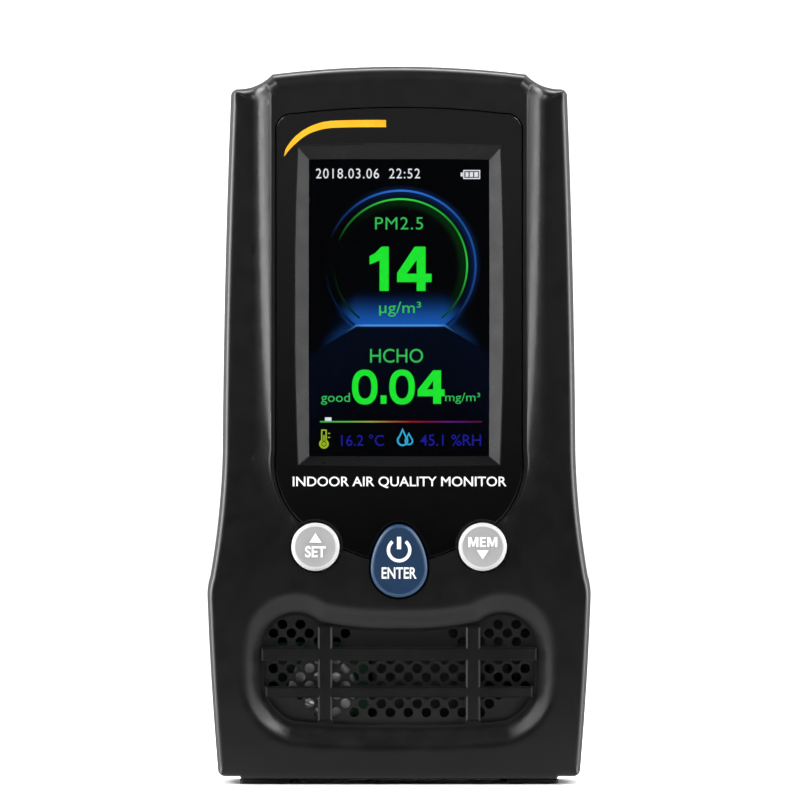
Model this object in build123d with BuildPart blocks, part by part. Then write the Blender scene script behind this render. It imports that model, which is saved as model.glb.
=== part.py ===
from build123d import *
import os
import math

# ---------------------------------------------------------------------------
# Hand-held / desk-top air quality monitor.
# Millimetres.  +Z up, the face with the display looks along -Y, +X is to the
# right of somebody reading the display.  The origin is the centre of the
# footprint, on the surface that the feet stand on.
# ---------------------------------------------------------------------------

# --- driving dimensions ----------------------------------------------------
PART_Y = 1.0            # parting plane between the two shells
BLOCK_Y = -19.5         # front of the raised centre block
UPPER_Y = -19.1         # front of the shell under the block
LOWER_Y = -19.9         # front of the lower body
REAR_LOW_Y = 21.0       # rear face low down
REAR_TOP_Y = 15.5       # rear face at the top
WALL = 2.2
DRAFT_F = 0.9           # how much the front outline is smaller than the parting outline
DRAFT_R = 1.6
SHOULDER_DROP = 4.6     # depth of the shoulders below the block, at the top
FLANK_W = 4.2           # width of the hollow flank beside the block

PANEL_Y = -19.35        # front of the glossy face plate
PANEL_FLOOR = -18.0     # floor of its recess
PANEL_BACK = -16.9      # inner side of the shell behind the recess
WIN_W, WIN_H = 37.8, 63.1
WIN_Z = 102.65
LENS_T = 1.0
BOARD_F, BOARD_B = -11.3, -9.7

KEY_R = 5.2
KEY_X, KEY_Z = 18.0, 51.2
KEY_GAP = 0.45
KEY_FRONT = -21.0
KEY_TRAVEL = 1.0

FAN_X, FAN_Z = 6.5, 22.5
FAN_R = 9.0
SHAFT_R = 0.75
HCHO_X, HCHO_Z, HCHO_R = -16.6, 20.4, 7.35

SCREW_TOP = (31.0, 142.0)
SCREW_LOW = (33.4, 8.6)
BOARD_SCREWS = [(-24.0, 144.3), (24.0, 144.3), (-24.0, 63.4), (24.0, 63.4)]

os.makedirs("parts", exist_ok=True)


# --- outlines shared by several pieces ---------------------------------------
def half_outline(k):
    """Right half of the body outline in the XZ plane, inset by k."""
    ThreePointArc((0, 155.2 - k), (14.0, 154.75 - k), (27.5 - k, 153.5 - k))
    ThreePointArc((27.5 - k, 153.5 - k), (30.4 - k, 151.35 - k), (35.0 - k, 150.3 - k))
    ThreePointArc((35.0 - k, 150.3 - k), (36.1 - k, 149.8 - k), (36.5 - k, 148.7 - k))
    ThreePointArc((36.5 - k, 148.7 - k), (37.6 - k, 115.2), (38.3 - k, 72.0))
    ThreePointArc((38.3 - k, 72.0), (39.15 - k, 58.0), (41.0 - k, 44.6))
    ThreePointArc((41.0 - k, 44.6), (41.55 - k, 41.9), (41.6 - k, 39.6))
    ThreePointArc((41.6 - k, 39.6), (40.75 - k, 22.0), (39.35 - k, 2.6 + k))
    ThreePointArc((39.35 - k, 2.6 + k), (38.9 - k, 1.55 + k), (37.8 - k, 1.1 + k))
    Line((37.8 - k, 1.1 + k), (34.4 - k, 1.1 + k))
    Line((34.4 - k, 1.1 + k), (34.2 - k, 0.45 + k))
    Line((34.2 - k, 0.45 + k), (0, 0.45 + k))


def half_panel(k):
    """Right half of the face plate outline, grown by k."""
    ThreePointArc((0, 145.75 + k), (11.0, 145.45 + k), (22.6, 144.4 + k))
    ThreePointArc((22.6, 144.4 + k), (25.6 + k * 0.8, 143.3 + k * 0.7), (26.5 + k, 140.6))
    Line((26.5 + k, 140.6), (26.5 + k, 72.0))
    ThreePointArc((26.5 + k, 72.0), (25.7 + k, 63.4 - k * 0.4), (22.2 + k * 0.8, 57.4 - k * 0.6))
    ThreePointArc((22.2 + k * 0.8, 57.4 - k * 0.6), (12.5, 50.9 - k * 0.8), (0, 47.4 - k))


def half_enter():
    """Right half of the egg-shaped middle key."""
    ThreePointArc((0, 40.3), (4.3134, 42.0866), (6.1, 46.4))
    ThreePointArc((6.1, 46.4), (5.3843, 50.6538), (3.3162, 54.4390))
    ThreePointArc((3.3162, 54.4390), (1.8433, 55.6262), (0, 56.05))


def half_grille(k):
    """Right half of the inlet opening, grown by k."""
    ThreePointArc((0, 33.6 + k), (9.0, 33.9 + k), (17.3, 35.2 + k))
    ThreePointArc((17.3, 35.2 + k), (23.9, 36.9 + k), (29.5 + k * 0.9, 31.4 + k * 0.5))
    ThreePointArc((29.5 + k * 0.9, 31.4 + k * 0.5), (30.0 + k, 27.0), (30.0 + k, 24.0))
    ThreePointArc((30.0 + k, 24.0), (28.3 + k * 0.9, 17.2 - k * 0.5), (23.0, 12.9 - k))
    ThreePointArc((23.0, 12.9 - k), (12.0, 12.1 - k), (0, 12.0 - k))


# --- front housing -----------------------------------------------------------
with BuildPart() as front_env:
    with BuildSketch(Plane.XZ.offset(-PART_Y)):
        with BuildLine():
            half_outline(0.0)
            mirror(about=Plane.YZ)
        make_face()
    with BuildSketch(Plane.XZ.offset(22.0)):
        with BuildLine():
            half_outline(DRAFT_F)
            mirror(about=Plane.YZ)
        make_face()
    loft(ruled=True)

with BuildPart() as front_outer:
    add(front_env.part)
    # side profile: the lower body stands a little further forward
    with BuildSketch(Plane.YZ.offset(-60)):
        with BuildLine():
            Line((PART_Y, -5), (LOWER_Y, -5))
            Line((LOWER_Y, -5), (LOWER_Y, 46))
            Bezier((LOWER_Y, 46), (LOWER_Y, 55), (UPPER_Y, 58), (UPPER_Y, 68))
            Line((UPPER_Y, 68), (UPPER_Y, 165))
            Line((UPPER_Y, 165), (PART_Y, 165))
            Line((PART_Y, 165), (PART_Y, -5))
        make_face()
    extrude(amount=120, mode=Mode.INTERSECT)

# cutter for the hollow flank and the shoulder beside the block
def flank_section(x0, w, y0, ys):
    d = ys - y0
    a = ThreePointArc((x0, y0), (x0 + w * 0.34, y0 + d * 0.66), (x0 + w, ys))
    Line(a @ 1, (50.0, ys))
    Line((50.0, ys), (50.0, -26.0))
    Line((50.0, -26.0), (x0, -26.0))
    Line((x0, -26.0), (x0, y0))


FLANK_STATIONS = ((162.0, 27.35, -19.12, -14.15), (112.0, 27.35, -19.12, -16.35), (80.0, 27.35, -19.12, -17.85),
                  (68.0, 26.9, -19.15, -18.5), (57.0, 24.3, -19.6, -19.15), (44.0, 22.0, -20.1, -20.05))

with BuildPart() as flank_cut:
    for zz, xx, yy, ys in FLANK_STATIONS:
        with BuildSketch(Plane.XY.offset(zz)):
            with BuildLine():
                flank_section(xx, FLANK_W, yy, ys)
            make_face()
    loft(ruled=True)
    mirror(about=Plane.YZ)

# the raised centre block: a shallow plate with a crisp edge that runs over the top
with BuildPart() as block_plate:
    with BuildSketch(Plane.XZ.offset(-BLOCK_Y - 6.0)):
        with BuildLine():
            Line((0, 160), (27.5, 160))
            Line((27.5, 160), (27.5, 72))
            ThreePointArc((27.5, 72.0), (26.6, 63.0), (22.9, 56.9))
            ThreePointArc((22.9, 56.9), (12.5, 50.2), (0, 48.0))
            mirror(about=Plane.YZ)
        make_face()
    extrude(amount=6.0)
    add(front_env.part, mode=Mode.INTERSECT)
    top_edges = block_plate.edges().filter_by(lambda e: abs((e @ 0.5).Y - BLOCK_Y) < 0.05 and (e @ 0.5).Z > 150)
    fillet(top_edges, 2.4)

# a shallow soft dish around the inlet
with BuildPart() as dish:
    for yy, kk in ((-20.5, 6.0), (-19.75, 4.4), (-19.2, 2.6), (-18.7, 1.2), (-18.3, 0.4)):
        with BuildSketch(Plane.XZ.offset(-yy)):
            with BuildLine():
                half_grille(kk)
                mirror(about=Plane.YZ)
            make_face()
    loft(ruled=True)

with BuildPart() as front_housing:
    add(front_outer.part)
    add(flank_cut.part, mode=Mode.SUBTRACT)
    add(block_plate.part)
    # deep cavity behind the block
    with BuildSketch(Plane.XZ.offset(-PART_Y)):
        with Locations((0, 104.0)):
            Rectangle(49.6, 84.0)
    extrude(amount=PART_Y - PANEL_BACK, mode=Mode.SUBTRACT)
    # lower cavity
    with BuildSketch(Plane.XZ.offset(-PART_Y)):
        with BuildLine():
            Polyline((-36.2, 4.2), (36.2, 4.2), (38.4, 40.0), (36.6, 50.0), (35.6, 62.5),
                     (-35.6, 62.5), (-36.6, 50.0), (-38.4, 40.0), (-36.2, 4.2))
        make_face()
    extrude(amount=PART_Y + 16.7, mode=Mode.SUBTRACT)
    # shallow cavity behind the shoulders
    with BuildSketch(Plane.XZ.offset(-PART_Y)):
        with BuildLine():
            Polyline((-35.6, 62.0), (35.6, 62.0), (34.2, 147.4), (26.0, 149.5), (26.0, 151.0), (-26.0, 151.0),
                     (-26.0, 149.5), (-34.2, 147.4), (-35.6, 62.0))
        make_face()
    extrude(amount=PART_Y + 12.0, mode=Mode.SUBTRACT)
    # tunnel wall around the inlet
    with BuildSketch(Plane.XZ.offset(14.6)):
        with BuildLine():
            half_grille(1.4)
            mirror(about=Plane.YZ)
        make_face()
    extrude(amount=3.6)
    add(dish.part, mode=Mode.SUBTRACT)
    with BuildSketch(Plane.XZ.offset(13.0)):
        with BuildLine():
            half_grille(0.0)
            mirror(about=Plane.YZ)
        make_face()
    extrude(amount=10.0, mode=Mode.SUBTRACT)
    # seat of the inlet guard in the tunnel wall
    with BuildSketch(Plane.XZ.offset(16.4)):
        with BuildLine():
            half_grille(0.7)
            mirror(about=Plane.YZ)
        make_face()
    extrude(amount=1.2, mode=Mode.SUBTRACT)
    # recess of the face plate
    with BuildSketch(Plane.XZ.offset(-PANEL_FLOOR)):
        with BuildLine():
            half_panel(0.22)
            mirror(about=Plane.YZ)
        make_face()
    extrude(amount=4.0, mode=Mode.SUBTRACT)
    # window
    with BuildSketch(Plane.XZ.offset(12.0)):
        with Locations((0, WIN_Z + 0.1)):
            Rectangle(46.6, 71.4)
    extrude(amount=10.0, mode=Mode.SUBTRACT)
    # key holes
    with BuildSketch(Plane.XZ.offset(12.0)):
        with Locations((-KEY_X, KEY_Z), (KEY_X, KEY_Z)):
            Circle(KEY_R + KEY_GAP)
    extrude(amount=10.0, mode=Mode.SUBTRACT)
    with BuildSketch(Plane.XZ.offset(12.0)):
        with BuildLine():
            half_enter()
            mirror(about=Plane.YZ)
        make_face()
        offset(amount=KEY_GAP, kind=Kind.ARC)
    extrude(amount=10.0, mode=Mode.SUBTRACT)
    # bosses for the board
    with BuildSketch(Plane.XZ.offset(-BOARD_F)):
        with Locations(*BOARD_SCREWS):
            Circle(2.0)
    extrude(amount=5.8)
    # bosses for the case screws
    with BuildSketch(Plane.XZ.offset(-PART_Y)):
        with Locations((-SCREW_TOP[0], SCREW_TOP[1]), SCREW_TOP):
            Circle(3.1)
            Rectangle(6.2, 3.0)
    extrude(amount=14.0)
    with BuildSketch(Plane.XZ.offset(-PART_Y)):
        with Locations((-SCREW_LOW[0], SCREW_LOW[1]), SCREW_LOW):
            Circle(3.1)
    extrude(amount=18.0)
    # pilot holes
    with BuildSketch(Plane.XZ.offset(-BOARD_F)):
        with Locations(*BOARD_SCREWS):
            Circle(0.8)
    extrude(amount=4.4, mode=Mode.SUBTRACT)
    with BuildSketch(Plane.XZ.offset(-PART_Y)):
        with Locations((-SCREW_TOP[0], SCREW_TOP[1]), SCREW_TOP, (-SCREW_LOW[0], SCREW_LOW[1]), SCREW_LOW):
            Circle(1.1)
    extrude(amount=9.5, mode=Mode.SUBTRACT)
    # pockets of the front feet
    with Locations((-28.8, -11.0, 0.45), (28.8, -11.0, 0.45)):
        Box(11.4, 8.2, 1.2, mode=Mode.SUBTRACT)
front_housing.part.label = "front_housing"

# --- rear housing ------------------------------------------------------------
with BuildPart() as rear_env:
    with BuildSketch(Plane.XZ.offset(-PART_Y)):
        with BuildLine():
            half_outline(0.0)
            mirror(about=Plane.YZ)
        make_face()
    with BuildSketch(Plane.XZ.offset(-24.0)):
        with BuildLine():
            half_outline(DRAFT_R)
            mirror(about=Plane.YZ)
        make_face()
    loft(ruled=True)


def rear_section(w, d):
    """Plan of the rear shell: flat back with broad rounded corners."""
    Line((-48, -2), (48, -2))
    Line((48, -2), (48, d - 9))
    Line((48, d - 9), (w + 0.6, d - 9))
    ThreePointArc((w + 0.6, d - 9), (w - 2.0, d - 2.9), (w - 9, d))
    Line((w - 9, d), (9 - w, d))
    ThreePointArc((9 - w, d), (2.0 - w, d - 2.9), (-w - 0.6, d - 9))
    Line((-w - 0.6, d - 9), (-48, d - 9))
    Line((-48, d - 9), (-48, -2))


REAR_STATIONS = ((-3.0, 38.0, 21.0), (42.0, 40.0, 21.0), (56.0, 38.3, 20.6), (72.0, 37.1, 19.7), (95.0, 36.5, 18.1), (160.0, 35.0, 14.9))

with BuildPart() as rear_outer:
    for zz, ww, dd in REAR_STATIONS:
        with BuildSketch(Plane.XY.offset(zz)):
            with BuildLine():
                rear_section(ww, dd)
            make_face()
    loft(ruled=True)
    add(rear_env.part, mode=Mode.INTERSECT)
    # the top rolls over to the back
    with BuildSketch(Plane.YZ.offset(-60)):
        with BuildLine():
            Line((-4, -5), (30, -5))
            Line((30, -5), (30, 140))
            Line((30, 140), (15.9, 141.0))
            Bezier((15.9, 141.0), (15.7, 149.0), (12.5, 153.0), (5.0, 155.3))
            Line((5.0, 155.3), (5.0, 160))
            Line((5.0, 160), (-4, 160))
            Line((-4, 160), (-4, -5))
        make_face()
    extrude(amount=120, mode=Mode.INTERSECT)

with BuildPart() as rear_inner:
    for zz, ww, dd in REAR_STATIONS:
        with BuildSketch(Plane.XY.offset(zz)):
            with BuildLine():
                rear_section(ww - 2.2, dd - 2.2)
            make_face()
    loft(ruled=True)
    with BuildSketch(Plane.XZ.offset(3)):
        with BuildLine():
            Polyline((-36.2, 3.4), (36.2, 3.4), (38.3, 40.0), (36.4, 52.0), (35.5, 72.0), (34.0, 140.0), (26.0, 146.5),
                     (-26.0, 146.5), (-34.0, 140.0), (-35.5, 72.0), (-36.4, 52.0), (-38.3, 40.0), (-36.2, 3.4))
        make_face()
    extrude(amount=-30, mode=Mode.INTERSECT)

SOCKET_Y, SOCKET_Z = 9.0, 78.0

with BuildPart() as rear_housing:
    add(rear_outer.part)
    add(rear_inner.part, mode=Mode.SUBTRACT)
    # screw pillars
    with BuildSketch(Plane.XZ.offset(-PART_Y)):
        with Locations((-SCREW_TOP[0], SCREW_TOP[1]), SCREW_TOP):
            Circle(3.6)
    extrude(amount=-11.6)
    with BuildSketch(Plane.XZ.offset(-PART_Y)):
        with Locations((-SCREW_LOW[0], SCREW_LOW[1]), SCREW_LOW):
            Circle(3.6)
    extrude(amount=-16.4)
    # posts that carry the sensor bracket
    with BuildSketch(Plane.XZ.offset(-11.2)):
        with Locations((-28.5, 38.6), (-26.2, 8.2), (28.5, 41.6), (-2.0, 41.6)):
            Circle(2.2)
    extrude(amount=-8.4)
    # screw wells, from behind
    with BuildSketch(Plane.XZ.offset(-5.0)):
        with Locations((-SCREW_TOP[0], SCREW_TOP[1]), SCREW_TOP, (-SCREW_LOW[0], SCREW_LOW[1]), SCREW_LOW):
            Circle(2.6)
    extrude(amount=-22.0, mode=Mode.SUBTRACT)
    with BuildSketch(Plane.XZ.offset(-PART_Y)):
        with Locations((-SCREW_TOP[0], SCREW_TOP[1]), SCREW_TOP, (-SCREW_LOW[0], SCREW_LOW[1]), SCREW_LOW):
            Circle(1.45)
    extrude(amount=-6.0, mode=Mode.SUBTRACT)
    # exhaust slots behind the fan
    with BuildSketch(Plane.XZ.offset(-16.0)):
        with Locations((FAN_X, FAN_Z)):
            with GridLocations(4.2, 0, 6, 1):
                SlotOverall(17.0, 2.0, rotation=90)
    extrude(amount=-8.0, mode=Mode.SUBTRACT)
    # vents for the temperature and humidity probe, in the left wall
    with BuildSketch(Plane.YZ.offset(-45.0)):
        with Locations((9.0, 24.0)):
            with GridLocations(3.4, 0, 4, 1):
                SlotOverall(12.0, 1.6, rotation=90)
    extrude(amount=12.0, mode=Mode.SUBTRACT)
    # shallow blank recess for a rating plate
    with BuildSketch(Plane.XZ.offset(-20.6)):
        with Locations((0, 48.0)):
            RectangleRounded(46.0, 18.0, 2.0)
    extrude(amount=-3.0, mode=Mode.SUBTRACT)
    # mouth of the charging socket, in the right wall
    with BuildSketch(Plane.YZ.offset(30.0)):
        with Locations((SOCKET_Y, SOCKET_Z)):
            RectangleRounded(3.6, 9.0, 1.2)
    extrude(amount=14.0, mode=Mode.SUBTRACT)
    # pockets of the rear feet
    with Locations((-27.5, 12.0, 0.45), (27.5, 12.0, 0.45)):
        Box(11.4, 8.2, 1.2, mode=Mode.SUBTRACT)
    # pilot holes of the bracket posts
    with BuildSketch(Plane.XZ.offset(-11.2)):
        with Locations((-28.5, 38.6), (-26.2, 8.2), (28.5, 41.6), (-2.0, 41.6)):
            Circle(0.8)
    extrude(amount=-5.0, mode=Mode.SUBTRACT)
rear_housing.part.label = "rear_housing"

# --- face plate, lens, display ---------------------------------------------------
def half_bezel():
    """Right half of the outer edge of the window bevel."""
    ThreePointArc((0, 137.9), (11.0, 137.8), (21.9, 137.5))
    ThreePointArc((21.9, 137.5), (22.6, 104.0), (21.8, 68.7))
    Line((21.8, 68.7), (0, 68.4))


with BuildPart() as bevel_cut:
    with BuildSketch(Plane.XZ.offset(-PANEL_Y + 0.01)):
        with BuildLine():
            half_bezel()
            mirror(about=Plane.YZ)
        make_face()
    with BuildSketch(Plane.XZ.offset(-PANEL_BACK - 0.3)):
        with BuildLine():
            ThreePointArc((0, WIN_Z + WIN_H / 2 + 0.03), (10.0, WIN_Z + WIN_H / 2 + 0.02), (WIN_W / 2, WIN_Z + WIN_H / 2))
            ThreePointArc((WIN_W / 2, WIN_Z + WIN_H / 2), (WIN_W / 2 + 0.02, WIN_Z), (WIN_W / 2, WIN_Z - WIN_H / 2))
            Line((WIN_W / 2, WIN_Z - WIN_H / 2), (0, WIN_Z - WIN_H / 2))
            mirror(about=Plane.YZ)
        make_face()
    loft(ruled=True)

with BuildPart() as front_panel:
    with BuildSketch(Plane.XZ.offset(-PANEL_FLOOR)):
        with BuildLine():
            half_panel(0.0)
            mirror(about=Plane.YZ)
        make_face()
    extrude(amount=PANEL_FLOOR - PANEL_Y)
    # collar of the window reaches through the shell
    with BuildSketch(Plane.XZ.offset(-PANEL_BACK)):
        with Locations((0, WIN_Z + 0.1)):
            Rectangle(46.0, 70.8)
    extrude(amount=PANEL_BACK - PANEL_FLOOR + 0.1)
    add(bevel_cut.part, mode=Mode.SUBTRACT)
    with BuildSketch(Plane.XZ.offset(15.0)):
        with Locations((0, WIN_Z)):
            Rectangle(WIN_W, WIN_H)
    extrude(amount=6.0, mode=Mode.SUBTRACT)
    with BuildSketch(Plane.XZ.offset(15.0)):
        with Locations((-KEY_X, KEY_Z), (KEY_X, KEY_Z)):
            Circle(KEY_R + KEY_GAP)
    extrude(amount=6.0, mode=Mode.SUBTRACT)
    with BuildSketch(Plane.XZ.offset(15.0)):
        with BuildLine():
            half_enter()
            mirror(about=Plane.YZ)
        make_face()
        offset(amount=KEY_GAP, kind=Kind.ARC)
    extrude(amount=6.0, mode=Mode.SUBTRACT)
front_panel.part.label = "front_panel"

LENS_F = PANEL_BACK
LENS_B = LENS_F + LENS_T
with BuildPart() as display_lens:
    with BuildSketch(Plane.XZ.offset(-LENS_B)):
        with Locations((0, WIN_Z)):
            RectangleRounded(42.6, 68.2, 1.0)
    extrude(amount=LENS_T)
    edge = display_lens.edges().filter_by(lambda e: abs((e @ 0.5).Y - LENS_F) < 0.01)
    chamfer(edge, 0.2)
display_lens.part.label = "display_lens"

with BuildPart() as display_gasket:
    with BuildSketch(Plane.XZ.offset(-(LENS_B + 0.6))):
        with Locations((0, WIN_Z)):
            RectangleRounded(42.4, 68.0, 1.0)
            RectangleRounded(39.2, 65.4, 0.6, mode=Mode.SUBTRACT)
    extrude(amount=0.6)
display_gasket.part.label = "display_gasket"

LCD_F = LENS_B + 0.6
with BuildPart() as lcd_panel:
    with BuildSketch(Plane.XZ.offset(-(LCD_F + 1.4))):
        with Locations((0, WIN_Z - 0.6)):
            Rectangle(42.6, 71.0)
    extrude(amount=1.4)
    # polariser is a little smaller than the glass
    with BuildSketch(Plane.XZ.offset(-(LCD_F + 0.9))):
        with Locations((0, WIN_Z - 0.6)):
            Rectangle(50.0, 80.0)
            Rectangle(40.6, 66.4, mode=Mode.SUBTRACT)
    extrude(amount=0.6, mode=Mode.SUBTRACT)
lcd_panel.part.label = "lcd_panel"

with BuildPart() as backlight_frame:
    with BuildSketch(Plane.XZ.offset(-(LCD_F + 2.8))):
        with Locations((0, WIN_Z - 0.6)):
            RectangleRounded(44.6, 73.0, 0.8)
    extrude(amount=2.8 - 0.4)
    with BuildSketch(Plane.XZ.offset(-(LCD_F + 1.4))):
        with Locations((0, WIN_Z - 0.6)):
            Rectangle(42.7, 71.1)
    extrude(amount=4.0, mode=Mode.SUBTRACT)
    # slot for the ribbon
    with Locations((0, LCD_F + 1.4, WIN_Z - 0.6 - 36.5)):
        Box(18.0, 3.4, 2.4, mode=Mode.SUBTRACT)
    # four studs that stand on the board
    with BuildSketch(Plane.XZ.offset(-BOARD_F)):
        with Locations((0, WIN_Z - 0.6)):
            with GridLocations(36.0, 62.0, 2, 2):
                Circle(1.6)
    extrude(amount=1.2)
backlight_frame.part.label = "backlight_frame"

with BuildPart() as display_ribbon:
    with BuildSketch(Plane.YZ.offset(-8.0)):
        with BuildLine():
            Polyline((-14.2, 66.5), (-14.2, 62.4), (-13.7, 61.7), (-12.5, 61.4), (-12.5, 61.1), (-13.8, 61.3), (-14.5, 62.2),
                     (-14.5, 66.5), (-14.2, 66.5))
        make_face()
    extrude(amount=16.0)
display_ribbon.part.label = "display_ribbon"

# --- main board ------------------------------------------------------------------
with BuildPart() as main_board:
    with BuildSketch(Plane.XZ.offset(-BOARD_B)):
        with BuildLine():
            Polyline((-27.0, 40.8), (27.0, 40.8), (27.0, 146.6), (-27.0, 146.6), (-27.0, 40.8))
        make_face()
    extrude(amount=BOARD_B - BOARD_F)
    corner = main_board.edges().filter_by(Axis.Y)
    fillet(corner, 1.5)
    with BuildSketch(Plane.XZ.offset(-BOARD_B)):
        with Locations(*BOARD_SCREWS):
            Circle(1.25)
    extrude(amount=3.0, mode=Mode.SUBTRACT)
main_board.part.label = "main_board"

with BuildPart() as board_chips:
    for cx, cz, w, h, t in ((0.0, 116.0, 12.0, 12.0, 1.4), (-16.0, 118.0, 7.0, 9.0, 1.3), (12.5, 98.0, 6.0, 5.0, 1.2),
                            (-14.0, 98.0, 5.0, 5.0, 0.9), (-4.0, 100.0, 3.2, 2.5, 1.1), (2.5, 100.0, 3.2, 1.6, 0.8)):
        with BuildSketch(Plane.XZ.offset(-BOARD_B)):
            with Locations((cx, cz)):
                Rectangle(w, h)
        extrude(amount=-t)
    with BuildSketch(Plane.XZ.offset(-BOARD_B)):
        with Locations((18.0, 108.0), (18.0, 112.0), (18.0, 116.0), (-6.0, 106.0), (-2.0, 106.0), (2.0, 106.0)):
            Rectangle(2.0, 1.25)
    extrude(amount=-0.6)
board_chips.part.label = "board_chips"

with BuildPart() as board_connectors:
    # ribbon connector, on the front
    with BuildSketch(Plane.XZ.offset(-BOARD_F)):
        with Locations((0, 61.0)):
            Rectangle(19.0, 3.2)
    extrude(amount=1.1)
    # battery, sensor and charger sockets, on the back
    with BuildSketch(Plane.XZ.offset(-BOARD_B)):
        with Locations((16.0, 126.0), (-8.0, 46.0), (8.0, 46.0)):
            Rectangle(8.0, 4.4)
    extrude(amount=-4.2)
    with BuildSketch(Plane.XZ.offset(-BOARD_B - 4.2)):
        with Locations((16.0, 126.0), (-8.0, 46.0), (8.0, 46.0)):
            Rectangle(6.6, 2.8)
    extrude(amount=2.6, mode=Mode.SUBTRACT)
board_connectors.part.label = "board_connectors"

with BuildPart() as board_screws:
    with BuildSketch(Plane.XZ.offset(-BOARD_B)):
        with Locations(*BOARD_SCREWS):
            Circle(1.9)
    extrude(amount=-1.3)
    with BuildSketch(Plane.XZ.offset(-BOARD_B)):
        with Locations(*BOARD_SCREWS):
            Circle(0.8)
    extrude(amount=5.4)
    with BuildSketch(Plane.XZ.offset(-BOARD_B - 1.3)):
        with Locations(*BOARD_SCREWS):
            Rectangle(2.2, 0.45)
            Rectangle(0.45, 2.2)
    extrude(amount=0.6, mode=Mode.SUBTRACT)
board_screws.part.label = "board_screws"

with BuildPart() as buzzer:
    with BuildSketch(Plane.XZ.offset(-BOARD_B)):
        with Locations((-14.0, 136.0)):
            Circle(6.0)
    extrude(amount=-4.6)
    fillet(buzzer.edges().sort_by(Axis.Y)[-1], 0.5)
    with BuildSketch(Plane.XZ.offset(-BOARD_B - 4.6)):
        with Locations((-14.0, 136.0)):
            Circle(1.2)
    extrude(amount=1.5, mode=Mode.SUBTRACT)
buzzer.part.label = "buzzer"

with BuildPart() as coin_cell:
    with BuildSketch(Plane.XZ.offset(-(BOARD_B + 0.9))):
        with Locations((10.0, 137.2)):
            Circle(8.0)
    extrude(amount=-2.0)
    chamfer(coin_cell.edges().sort_by(Axis.Y)[-1], 0.4)
coin_cell.part.label = "coin_cell"

with BuildPart() as coin_cell_holder:
    with BuildSketch(Plane.XZ.offset(-BOARD_B)):
        with Locations((10.0, 137.2)):
            Circle(9.0)
    extrude(amount=-2.4)
    with BuildSketch(Plane.XZ.offset(-(BOARD_B + 0.9))):
        with Locations((10.0, 137.2)):
            Circle(8.05)
    extrude(amount=-3.0, mode=Mode.SUBTRACT)
    with BuildSketch(Plane.XZ.offset(-(BOARD_B + 1.2))):
        with Locations((10.0, 145.0)):
            Rectangle(8.0, 6.0)
    extrude(amount=-3.0, mode=Mode.SUBTRACT)
coin_cell_holder.part.label = "coin_cell_holder"

# --- keys --------------------------------------------------------------------------
FLANGE_F, FLANGE_B = -16.3, -15.5
STEM_B = -12.8


with BuildPart() as set_key:
    with BuildSketch(Plane.XZ.offset(-FLANGE_F)):
        with Locations((-KEY_X, KEY_Z)):
            Circle(KEY_R)
    extrude(amount=FLANGE_F - KEY_FRONT)
    face_edge = set_key.edges().sort_by(Axis.Y)[0]
    chamfer(face_edge, 0.7)
    with BuildSketch(Plane.XZ.offset(-FLANGE_B)):
        with Locations((-KEY_X, KEY_Z)):
            Circle(KEY_R + 0.95)
    extrude(amount=FLANGE_B - FLANGE_F)
    with BuildSketch(Plane.XZ.offset(-STEM_B)):
        with Locations((-KEY_X, KEY_Z)):
            Circle(2.2)
    extrude(amount=STEM_B - FLANGE_B)
set_key.part.label = "set_key"

with BuildPart() as mem_key:
    with BuildSketch(Plane.XZ.offset(-FLANGE_F)):
        with Locations((KEY_X, KEY_Z)):
            Circle(KEY_R)
    extrude(amount=FLANGE_F - KEY_FRONT)
    face_edge = mem_key.edges().sort_by(Axis.Y)[0]
    chamfer(face_edge, 0.7)
    with BuildSketch(Plane.XZ.offset(-FLANGE_B)):
        with Locations((KEY_X, KEY_Z)):
            Circle(KEY_R + 0.95)
    extrude(amount=FLANGE_B - FLANGE_F)
    with BuildSketch(Plane.XZ.offset(-STEM_B)):
        with Locations((KEY_X, KEY_Z)):
            Circle(2.2)
    extrude(amount=STEM_B - FLANGE_B)
mem_key.part.label = "mem_key"

with BuildPart() as enter_key:
    with BuildSketch(Plane.XZ.offset(-FLANGE_F)):
        with BuildLine():
            half_enter()
            mirror(about=Plane.YZ)
        make_face()
    extrude(amount=FLANGE_F - KEY_FRONT, taper=0)
    face_edge = enter_key.edges().filter_by(lambda e: abs((e @ 0.5).Y - KEY_FRONT) < 0.01)
    chamfer(face_edge, 0.6)
    with BuildSketch(Plane.XZ.offset(-FLANGE_B)):
        with BuildLine():
            half_enter()
            mirror(about=Plane.YZ)
        make_face()
        offset(amount=0.95, kind=Kind.ARC)
    extrude(amount=FLANGE_B - FLANGE_F)
    with BuildSketch(Plane.XZ.offset(-STEM_B)):
        with Locations((0, 48.0)):
            Circle(2.4)
    extrude(amount=STEM_B - FLANGE_B)
enter_key.part.label = "enter_key"

with BuildPart() as set_contact:
    with BuildSketch(Plane.XZ.offset(-(STEM_B + 0.3))):
        with Locations((-KEY_X, KEY_Z)):
            Circle(1.9)
    extrude(amount=0.3)
set_contact.part.label = "set_contact"

with BuildPart() as mem_contact:
    with BuildSketch(Plane.XZ.offset(-(STEM_B + 0.3))):
        with Locations((KEY_X, KEY_Z)):
            Circle(1.9)
    extrude(amount=0.3)
mem_contact.part.label = "mem_contact"

with BuildPart() as enter_contact:
    with BuildSketch(Plane.XZ.offset(-(STEM_B + 0.3))):
        with Locations((0, 48.0)):
            Circle(2.1)
    extrude(amount=0.3)
enter_contact.part.label = "enter_contact"

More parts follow.
